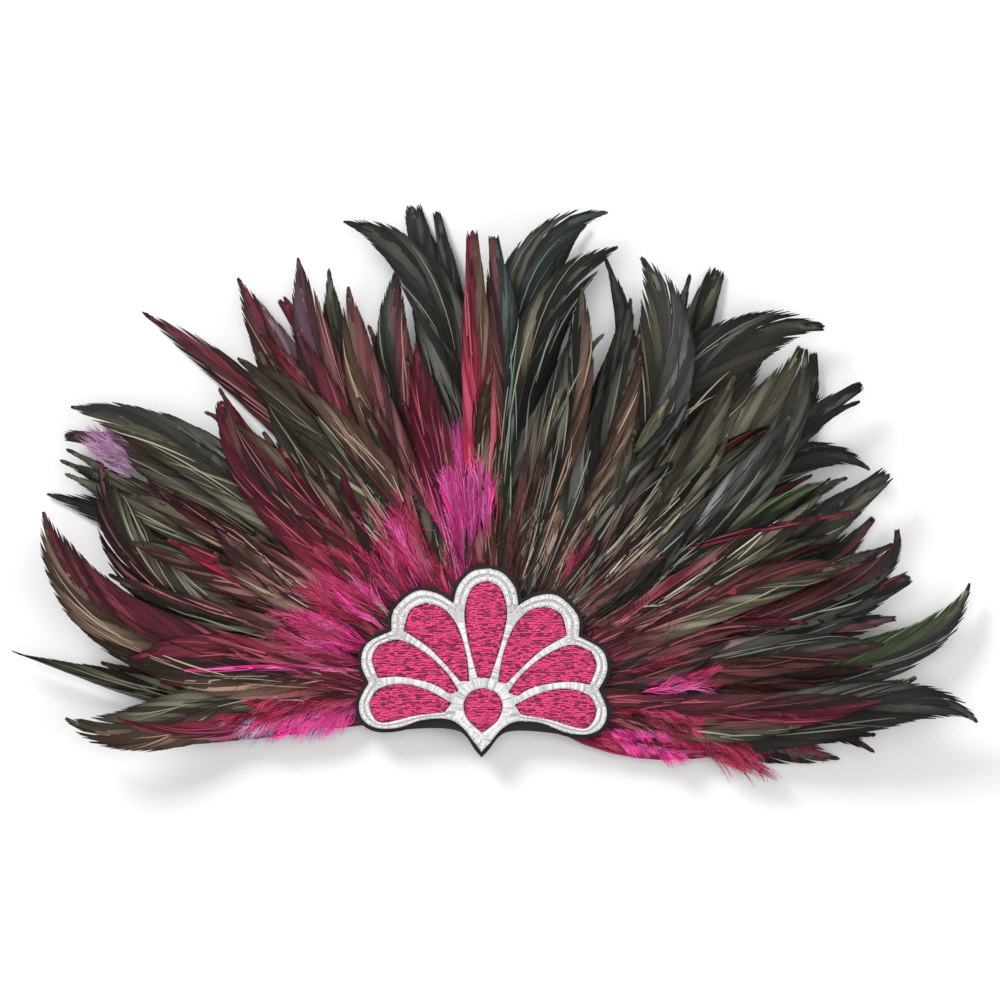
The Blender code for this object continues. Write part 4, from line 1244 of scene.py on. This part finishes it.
class HEADDRESS_OT_patch_base(Operator):
    """Makes the black twill that the embroidery is sewn on"""
    bl_idname = "headdress.patch_base"
    bl_label = "Patch base"

    def execute(self, context):
        settings = context.scene.headdress_patch
        finish = cloth_finish("black_twill", settings.twill, 0.0009, 6.0)
        dress(rounded_copy("patch_base", "twill_base", 0.0004, finish), "patch_base")
        return {"FINISHED"}


class HEADDRESS_OT_hair_comb(Operator):
    """Makes the plain comb at the back"""
    bl_idname = "headdress.hair_comb"
    bl_label = "Hair comb"

    def execute(self, context):
        settings = context.scene.headdress_comb
        finish = plastic_finish("black_comb", settings.plastic)
        dress(rounded_copy("hair_comb", "comb", settings.edge, finish), "hair_comb")
        return {"FINISHED"}


def area_light(name, place, size, power):
    """A round lamp that faces the headdress."""
    data = bpy.data.lights.new(name, "AREA")
    data.shape, data.size, data.energy = "DISK", size, power
    made = placed(name, data)
    made.location = place
    made.rotation_euler = (Vector(AIM) - Vector(place)).to_track_quat("-Z", "Y").to_euler()


class HEADDRESS_OT_stage(Operator):
    """Sets the pale floor, the soft light and the camera straight above"""
    bl_idname = "headdress.stage"
    bl_label = "Stage"

    def execute(self, context):
        scene = context.scene
        settings = scene.headdress_stage
        bpy.ops.mesh.primitive_plane_add(size=settings.floor_size)
        floor = context.active_object
        floor.name = "floor"
        floor.data.materials.append(floor_finish(settings.floor))
        camera = bpy.data.cameras.new("camera")
        camera.lens = settings.lens
        camera.clip_end = VIEW_LIMIT
        scene.camera = placed("camera", camera)
        scene.camera.location = (AIM[0], AIM[1], AIM[2] + settings.lens / camera.sensor_width * settings.view_width)
        for lamp in LAMPS:
            area_light(*lamp)
        world = bpy.data.worlds.new("studio")
        world.use_nodes = True
        background = world.node_tree.nodes["Background"]
        background.inputs["Color"].default_value = (1.0, 1.0, 1.0, 1.0)
        background.inputs["Strength"].default_value = SKY_STRENGTH
        scene.world = world
        scene.view_settings.view_transform = "Standard"
        return {"FINISHED"}


class HEADDRESS_PT_parts(Panel):
    """The headdress's pieces, in the order in which they are made"""
    bl_idname = "HEADDRESS_PT_parts"
    bl_label = "Feather headdress"
    bl_space_type = "VIEW_3D"
    bl_region_type = "UI"
    bl_category = "Headdress"

    def draw(self, context):
        column = self.layout.column()
        for name in SETTINGS:
            settings = getattr(context.scene, name)
            box = column.box()
            for key in settings.bl_rna.properties.keys():
                if key not in ("rna_type", "name"):
                    box.prop(settings, key)
        for operator in OPERATORS:
            column.operator(operator.bl_idname)


OPERATORS = (
    HEADDRESS_OT_stage,
    HEADDRESS_OT_hair_comb,
    HEADDRESS_OT_feather_row,
    HEADDRESS_OT_down_collar,
    HEADDRESS_OT_patch_base,
    HEADDRESS_OT_silver_border,
    HEADDRESS_OT_petals,
)
CLASSES = (*SETTINGS.values(), *OPERATORS, HEADDRESS_PT_parts)


def register():
    for item in CLASSES:
        bpy.utils.register_class(item)
    for name, group in SETTINGS.items():
        setattr(bpy.types.Scene, name, PointerProperty(type=group))


def unregister():
    for name in SETTINGS:
        delattr(bpy.types.Scene, name)
    for item in reversed(CLASSES):
        bpy.utils.unregister_class(item)


def main():
    register()
    bpy.ops.headdress.stage()
    bpy.ops.headdress.hair_comb()
    for row in ROWS:
        bpy.ops.headdress.feather_row(row=row)
    bpy.ops.headdress.down_collar()
    bpy.ops.headdress.patch_base()
    bpy.ops.headdress.silver_border()
    bpy.ops.headdress.petals()


if __name__ == "__main__":
    main()
